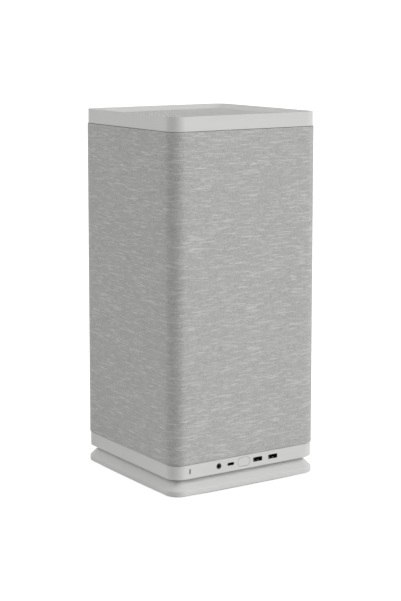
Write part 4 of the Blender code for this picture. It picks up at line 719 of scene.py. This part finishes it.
# %% Tree: rows of small parts
wiring, given, result = growth_tree("rows_of_parts", [
    ("Sides", WHOLE, 12), ("Unit radius", NUMBER, 0.5), ("Smallest", VECTOR, (0.004, 0.004, 0.002)),
    ("Largest", VECTOR, (0.004, 0.004, 0.002)), ("Edge", NUMBER, 0.85), ("Hollow", NUMBER, 0.0),
    ("Across", WHOLE, 2), ("Down", WHOLE, 2), ("Width", NUMBER, 0.05), ("Height", NUMBER, 0.05),
    ("Scatter", NUMBER, 0.0), ("Keep", NUMBER, 1.0), ("Seed", WHOLE, 1)])
prism = wiring.add("GeometryNodeMeshCylinder", {"Vertices": given["Sides"], "Radius": given["Unit radius"],
                                                "Depth": 0.85})
part, face = prism.outputs["Mesh"], prism.outputs["Top"]
sunk = wiring.math("MULTIPLY", given["Hollow"], -1.0)
for lift, share in ((0.15, given["Edge"]), (0.0, 0.62), (sunk, 0.98)):
    pushed = wiring.add("GeometryNodeExtrudeMesh", {"Mesh": part, "Selection": face, "Offset Scale": lift})
    face = pushed.outputs["Top"]
    part = wiring.add("GeometryNodeScaleElements", {"Geometry": pushed.outputs["Mesh"], "Selection": face,
                                                    "Scale": share}).outputs[0]
half_side = wiring.math("DIVIDE", math.pi, given["Sides"])
square_on = wiring.add("FunctionNodeEulerToRotation",
                       {0: wiring.add("ShaderNodeCombineXYZ", {"Z": half_side}).outputs[0]}).outputs[0]
part = wiring.add("GeometryNodeTransform", {"Geometry": part, "Translation": (0.0, 0.0, 0.425),
                                            "Rotation": square_on}).outputs[0]
field = wiring.add("GeometryNodeMeshGrid", {"Size X": given["Width"], "Size Y": given["Height"],
                                            "Vertices X": given["Across"],
                                            "Vertices Y": given["Down"]}).outputs[0]
spill = wiring.add("FunctionNodeRandomValue", {0: (-1.0, -1.0, 0.0), 1: (1.0, 1.0, 0.0), 8: given["Seed"]},
                   data_type="FLOAT_VECTOR").outputs[0]
spill = wiring.add("ShaderNodeVectorMath", {0: spill, "Scale": given["Scatter"]},
                   operation="SCALE").outputs[0]
field = wiring.add("GeometryNodeSetPosition", {"Geometry": field, "Offset": spill}).outputs[0]
kept = wiring.add("FunctionNodeRandomValue", {6: given["Keep"], 8: wiring.math("ADD", given["Seed"], 7.0)},
                  data_type="BOOLEAN").outputs[3]
size = wiring.add("FunctionNodeRandomValue", {0: given["Smallest"], 1: given["Largest"],
                                              8: wiring.math("ADD", given["Seed"], 13.0)},
                  data_type="FLOAT_VECTOR").outputs[0]
grown = wiring.add("GeometryNodeInstanceOnPoints", {"Points": field, "Selection": kept, "Instance": part,
                                                    "Scale": size}).outputs[0]
end_growth(wiring, given, result, grown)
rows_of_parts = wiring.tree
BOX = {"Sides": 4, "Unit_radius": math.sqrt(0.5)}
ROUND = {"Sides": 16, "Unit_radius": 0.5}

# %% Parts on the mainboard
board_low, board_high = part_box("mainboard")
face_x = board_high.x
facing = {"Turn": (math.pi / 2, 0.0, math.pi / 2)}
CHOKE = (6.5, 6.5, 4.0)
CAPACITOR = (4.6, 4.6, 6.0)
POPULATION = (
    ("chokes_left", "graphite", BOX, CHOKE, CHOKE, 0.93, 0.0, (1, 7), (0, 54), 0.0, 1.0,
     (-40, 182)),
    ("chokes_over_processor", "graphite", BOX, CHOKE, CHOKE, 0.93, 0.0, (6, 1), (44, 0), 0.0,
     1.0, (-6, 219)),
    ("capacitors_left", "bright_steel", ROUND, CAPACITOR, CAPACITOR, 0.94, 0.03, (1, 8), (0, 58), 0.0,
     1.0, (-50, 182)),
    ("capacitors_over", "bright_steel", ROUND, CAPACITOR, CAPACITOR, 0.94, 0.03, (7, 1), (50, 0), 0.0,
     1.0, (-6, 229)),
    ("chips_low", "chip", BOX, (3.0, 2.2, 0.8), (8.0, 6.0, 1.2), 0.96, 0.0, (9, 4), (120, 26), 1.2, 0.6,
     (-12, 136)),
    ("chips_right", "chip", BOX, (2.0, 2.0, 0.8), (6.0, 5.0, 1.2), 0.96, 0.0, (4, 9), (34, 80), 1.0, 0.6,
     (44, 185)),
    ("small_parts_left", "solder", BOX, (0.8, 1.4, 0.5), (1.2, 2.4, 0.7), 0.96, 0.0, (7, 26), (22, 110),
     0.8, 0.5, (-68, 184)),
    ("small_parts_right", "solder", BOX, (0.8, 1.4, 0.5), (1.4, 2.4, 0.7), 0.96, 0.0, (12, 26), (42, 108),
     0.8, 0.35, (42, 184)),
    ("small_parts_low", "solder", BOX, (0.8, 1.4, 0.5), (1.4, 2.4, 0.7), 0.96, 0.0, (40, 8), (130, 34),
     0.8, 0.35, (-10, 136)),
)
for count, (label, finish, form, least, most, edge, hollow, grid, spread, scatter, keep, middle) in enumerate(
        POPULATION):
    y, z = middle
    grown = grow(f"mainboard_{label}", rows_of_parts, finish, **form, **facing,
                 Smallest=tuple(v / 1000 for v in least), Largest=tuple(v / 1000 for v in most), Edge=edge,
                 Hollow=hollow, Across=grid[0], Down=grid[1], Width=spread[0] / 1000, Height=spread[1] / 1000,
                 Scatter=scatter / 1000, Keep=keep, Seed=20 + count, Place=(face_x, y / 1000, z / 1000))
    show(grown, "chassis")

# %% Screws
SCREW_HEAD = (0.0056, 0.0056, 0.0022)
for node, axis, side, across, down, inset in (
        ("mainboard", 0, 1, 2, 2, 0.0065), ("top_fan_frame", 2, 1, 2, 2, 0.0075),
        ("cpu_fan_frame", 0, 1, 2, 2, 0.0070), ("power_supply_grille", 0, 1, 2, 2, 0.0045),
        ("graphics_bracket", 2, -1, 2, 2, 0.0050)):
    low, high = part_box(node)
    spread = high - low - Vector((2 * inset, 2 * inset, 2 * inset))
    place = (low + high) / 2
    place[axis] = high[axis] if side > 0 else low[axis]
    turn = (math.pi / 2, 0.0, math.pi / 2) if axis == 0 else (0.0 if side > 0 else math.pi, 0.0, 0.0)
    width, height = (spread.y, spread.z) if axis == 0 else (spread.x, spread.y)
    grown = grow(f"{node}_screws", rows_of_parts, "bright_steel", Sides=12, Unit_radius=0.5,
                 Smallest=SCREW_HEAD, Largest=SCREW_HEAD, Edge=0.80, Hollow=0.55, Across=across, Down=down,
                 Width=width, Height=height, Place=tuple(place), Turn=turn)
    show(grown, home[node])

# %% [markdown]
# ## The cloth's seam
# The strip's two ends meet at the middle of the back. They are turned under and sewn with two rows of
# stitches, which hold the join flat. The stitches are rows of small rounded parts again.

# %% Back seam stitches
STITCH = (0.00075, 0.0026, 0.00032)
STITCH_PITCH = 0.0036
STITCH_MARGIN = 0.012
stitch_rows = int((CLOTH_HEIGHT - STITCH_MARGIN) / STITCH_PITCH)
seam_middle = (0.0, wrap_high.y - 0.00004, (wrap_low.z + wrap_high.z) / 2)
stitches = grow("sleeve_stitches", rows_of_parts, "thread", Sides=8, Unit_radius=0.5, Smallest=STITCH,
                Largest=STITCH, Edge=0.55, Hollow=0.0, Across=2, Down=stitch_rows, Width=0.0070,
                Height=(stitch_rows - 1) * STITCH_PITCH, Place=seam_middle, Turn=(math.pi / 2, 0.0, math.pi))
show(stitches, "sleeve")

# %% [markdown]
# ## Socket details
# The openings in the band are kept black right to their edges by a thin near-black collar in each,
# painted shade for the dark depth of the opening, which also hides the cut edge of the shell. Inside, each
# wide socket has two sprung tabs that grip the plug, and gilded contacts on its tongue.

# %% Openings with painted shade collars
def round_outline(width, height, corner, steps=5):
    """Points round an upright rectangle with rounded corners, as (across, up)."""
    points = []
    for quarter, (sx, sz) in enumerate(((1, 1), (-1, 1), (-1, -1), (1, -1))):
        for i in range(steps + 1):
            angle = math.pi / 2 * (quarter + i / steps)
            points.append((sx * (width / 2 - corner) + corner * math.cos(angle),
                           sz * (height / 2 - corner) + corner * math.sin(angle)))
    return points


def collar(name, width, height, corner, wall, x, z, front, back, finish):
    """A thin collar along Y, with this outline outside and its wall inside it."""
    outer = round_outline(width, height, corner)
    inner = round_outline(width - 2 * wall, height - 2 * wall, max(corner - wall, 0.00005))
    bm = bmesh.new()
    loops = [[bm.verts.new((x + a, y, z + b)) for a, b in outline]
             for outline, y in ((outer, front), (outer, back), (inner, back), (inner, front))]
    for here, there in zip(loops, loops[1:] + loops[:1]):
        for i in range(len(here)):
            k = (i + 1) % len(here)
            bm.faces.new((here[i], here[k], there[k], there[i])).smooth = True
    bmesh.ops.recalc_face_normals(bm, faces=bm.faces)
    mesh = bpy.data.meshes.new(name)
    bm.to_mesh(mesh)
    bm.free()
    mesh.set_sharp_from_angle(angle=SHARP_EDGE)
    return as_object(name, mesh, finishes[finish])


band_low, band_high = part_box("lower_band")
USB_A_OPENING = (0.0134, 0.0054, 0.0004)
USB_C_OPENING = (0.0100, 0.0037, 0.0018)
COLLAR_GAP = 0.00008
SPRING_TAB = (0.0024, 0.0050, 0.0004)
CONTACT = (0.0011, 0.0072, 0.00016)
for node, (width, height, corner) in (("usb_a_socket_left", USB_A_OPENING),
                                      ("usb_a_socket_right", USB_A_OPENING),
                                      ("usb_c_socket", USB_C_OPENING)):
    low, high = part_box(node)
    middle = (low + high) / 2
    # Each opening gets a near-black collar: painted shade that keeps the opening dark to its edge.
    shade_collar = collar(node + "_lining", width - 2 * COLLAR_GAP, height - 2 * COLLAR_GAP, corner, 0.00016,
                    middle.x, middle.z, band_low.y + 0.00012, low.y - 0.00005, "deep_black")
    show(shade_collar, "chassis")
    if "usb_a" in node:
        tabs = grow(node + "_spring_tabs", rows_of_parts, "bright_steel", **BOX, Smallest=SPRING_TAB,
                    Largest=SPRING_TAB, Edge=0.75, Hollow=0.0, Across=2, Down=1, Width=0.0056, Height=0.0,
                    Place=(middle.x, low.y + 0.0040, low.z + 0.00035))
        show(tabs, "chassis")
        tongue_low, tongue_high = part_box(node.replace("socket", "tongue"))
        contacts = grow(node + "_contacts", rows_of_parts, "gilt", **BOX, Smallest=CONTACT, Largest=CONTACT,
                        Edge=0.85, Hollow=0.0, Across=4, Down=1, Width=0.0070, Height=0.0,
                        Turn=(math.pi, 0.0, 0.0),
                        Place=(middle.x, (tongue_low.y + tongue_high.y) / 2, tongue_low.z))
        show(contacts, "chassis")
print("openings lined")

# %% [markdown]
# ## Everything else keeps its CAD shape
# The pieces inside are finished as the shells are, so that pipes, leads and frames look round.

# %% Inner pieces
BEVELS = {"corner_post": 0.0004, "top_fan_frame": 0.0006, "cpu_fan_frame": 0.0006, "memory": 0.0004,
          "plug": 0.0005, "mains_inlet": 0.0004, "rubber": 0.0}
for node in sorted(nodes):
    if nodes[node].hide_render:
        continue
    radius = next((value for part, value in BEVELS.items() if part in node), 0.0)
    smoothed(node, radius, 35)

# %% [markdown]
# ## Stage
# The stage is a light tent: a wide pale floor and three very broad lights. One comes from the front
# right and lights the socket side, a weaker one from the left rear lights the left side, and a faint one
# lights the back. Between the first two lies a dim zone, so the rounded corner that points at the
# camera is the darkest strip of the sleeve, and the eye reads it as round. Suns are used because their
# light doesn't fade with distance, which keeps the floor even out to the horizon.

# %% Floor
floor_mesh = bpy.data.meshes.new("studio_floor")
bm = bmesh.new()
bmesh.ops.create_grid(bm, x_segments=8, y_segments=8, size=14.0)
bm.to_mesh(floor_mesh)
bm.free()
floor_paint = grained("floor_paint", (0.50, 0.50, 0.50), 0.85, 0.004, 0.00001, patch=0.8, drift=0.004)
wiring = Wiring(floor_paint.node_tree)
shader = floor_paint.node_tree.nodes["Principled BSDF"]
shader.inputs["Specular IOR Level"].default_value = 0.0
shader.inputs["Emission Color"].default_value = (1.0, 1.0, 1.0, 1.0)
seen = wiring.add("ShaderNodeLightPath").outputs["Is Camera Ray"]
spot = wiring.add("ShaderNodeSeparateXYZ", {0: wiring.add("ShaderNodeTexCoord").outputs["Object"]}).outputs
# The floor glows for camera rays so that it reads evenly white; inside the foot's rounded footprint the glow fades
# to nothing, a painted contact shadow that shows as a dark line under the plate.
ROUNDING = 6.0
sixth = [wiring.math("POWER", wiring.math("ABSOLUTE", spot[k]), ROUNDING) for k in (0, 1)]
reach = wiring.math("POWER", wiring.math("ADD", *sixth), 1.0 / ROUNDING)
outside = wiring.remap(reach, cad_high.x - 0.005, cad_high.x - 0.0005, 0.0, 0.80)
wiring.feed(shader.inputs["Emission Strength"], wiring.math("MULTIPLY", seen, outside))
floor = as_object("studio_floor", floor_mesh, floor_paint)
floor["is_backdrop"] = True
print("floor ready")

# %% Surround and lights
world = bpy.data.worlds.new("light_tent")
world.use_nodes = True
wiring = Wiring(world.node_tree)
seen = wiring.add("ShaderNodeLightPath").outputs["Is Camera Ray"]
wiring.feed(world.node_tree.nodes["Background"].inputs["Strength"], wiring.remap(seen, 0.0, 1.0, 0.14, 1.1))
world.node_tree.nodes["Background"].inputs["Color"].default_value = (1.0, 1.0, 1.0, 1.0)
bpy.context.scene.world = world
bpy.context.scene.view_settings.view_transform = "Standard"


def broad_light(name, azimuth, elevation, spread, power):
    """A sun as wide as a large panel. Azimuth 0 is the socket side, 90 the right side."""
    data = bpy.data.lights.new(name, "SUN")
    data.energy = power * math.pi
    data.angle = math.radians(spread)
    made = bpy.data.objects.new(name, data)
    turn, rise = math.radians(azimuth), math.radians(elevation)
    way = Vector((math.sin(turn) * math.cos(rise), -math.cos(turn) * math.cos(rise), math.sin(rise)))
    made.rotation_euler = way.to_track_quat("Z", "Y").to_euler()
    bpy.context.scene.collection.objects.link(made)
    return made


broad_light("front_right_light", 34, 25, 50, 0.93)
broad_light("left_rear_light", -118, 25, 50, 0.515)
broad_light("rear_light", -170, 30, 60, 0.20)
print("stage ready")

# %% [markdown]
# ## The finished size
# The finished model has to fill the same box as the CAD one; its size is printed here.

# %% Finish
low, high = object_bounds()
print("finished size:", [round(v, 4) for v in high - low])
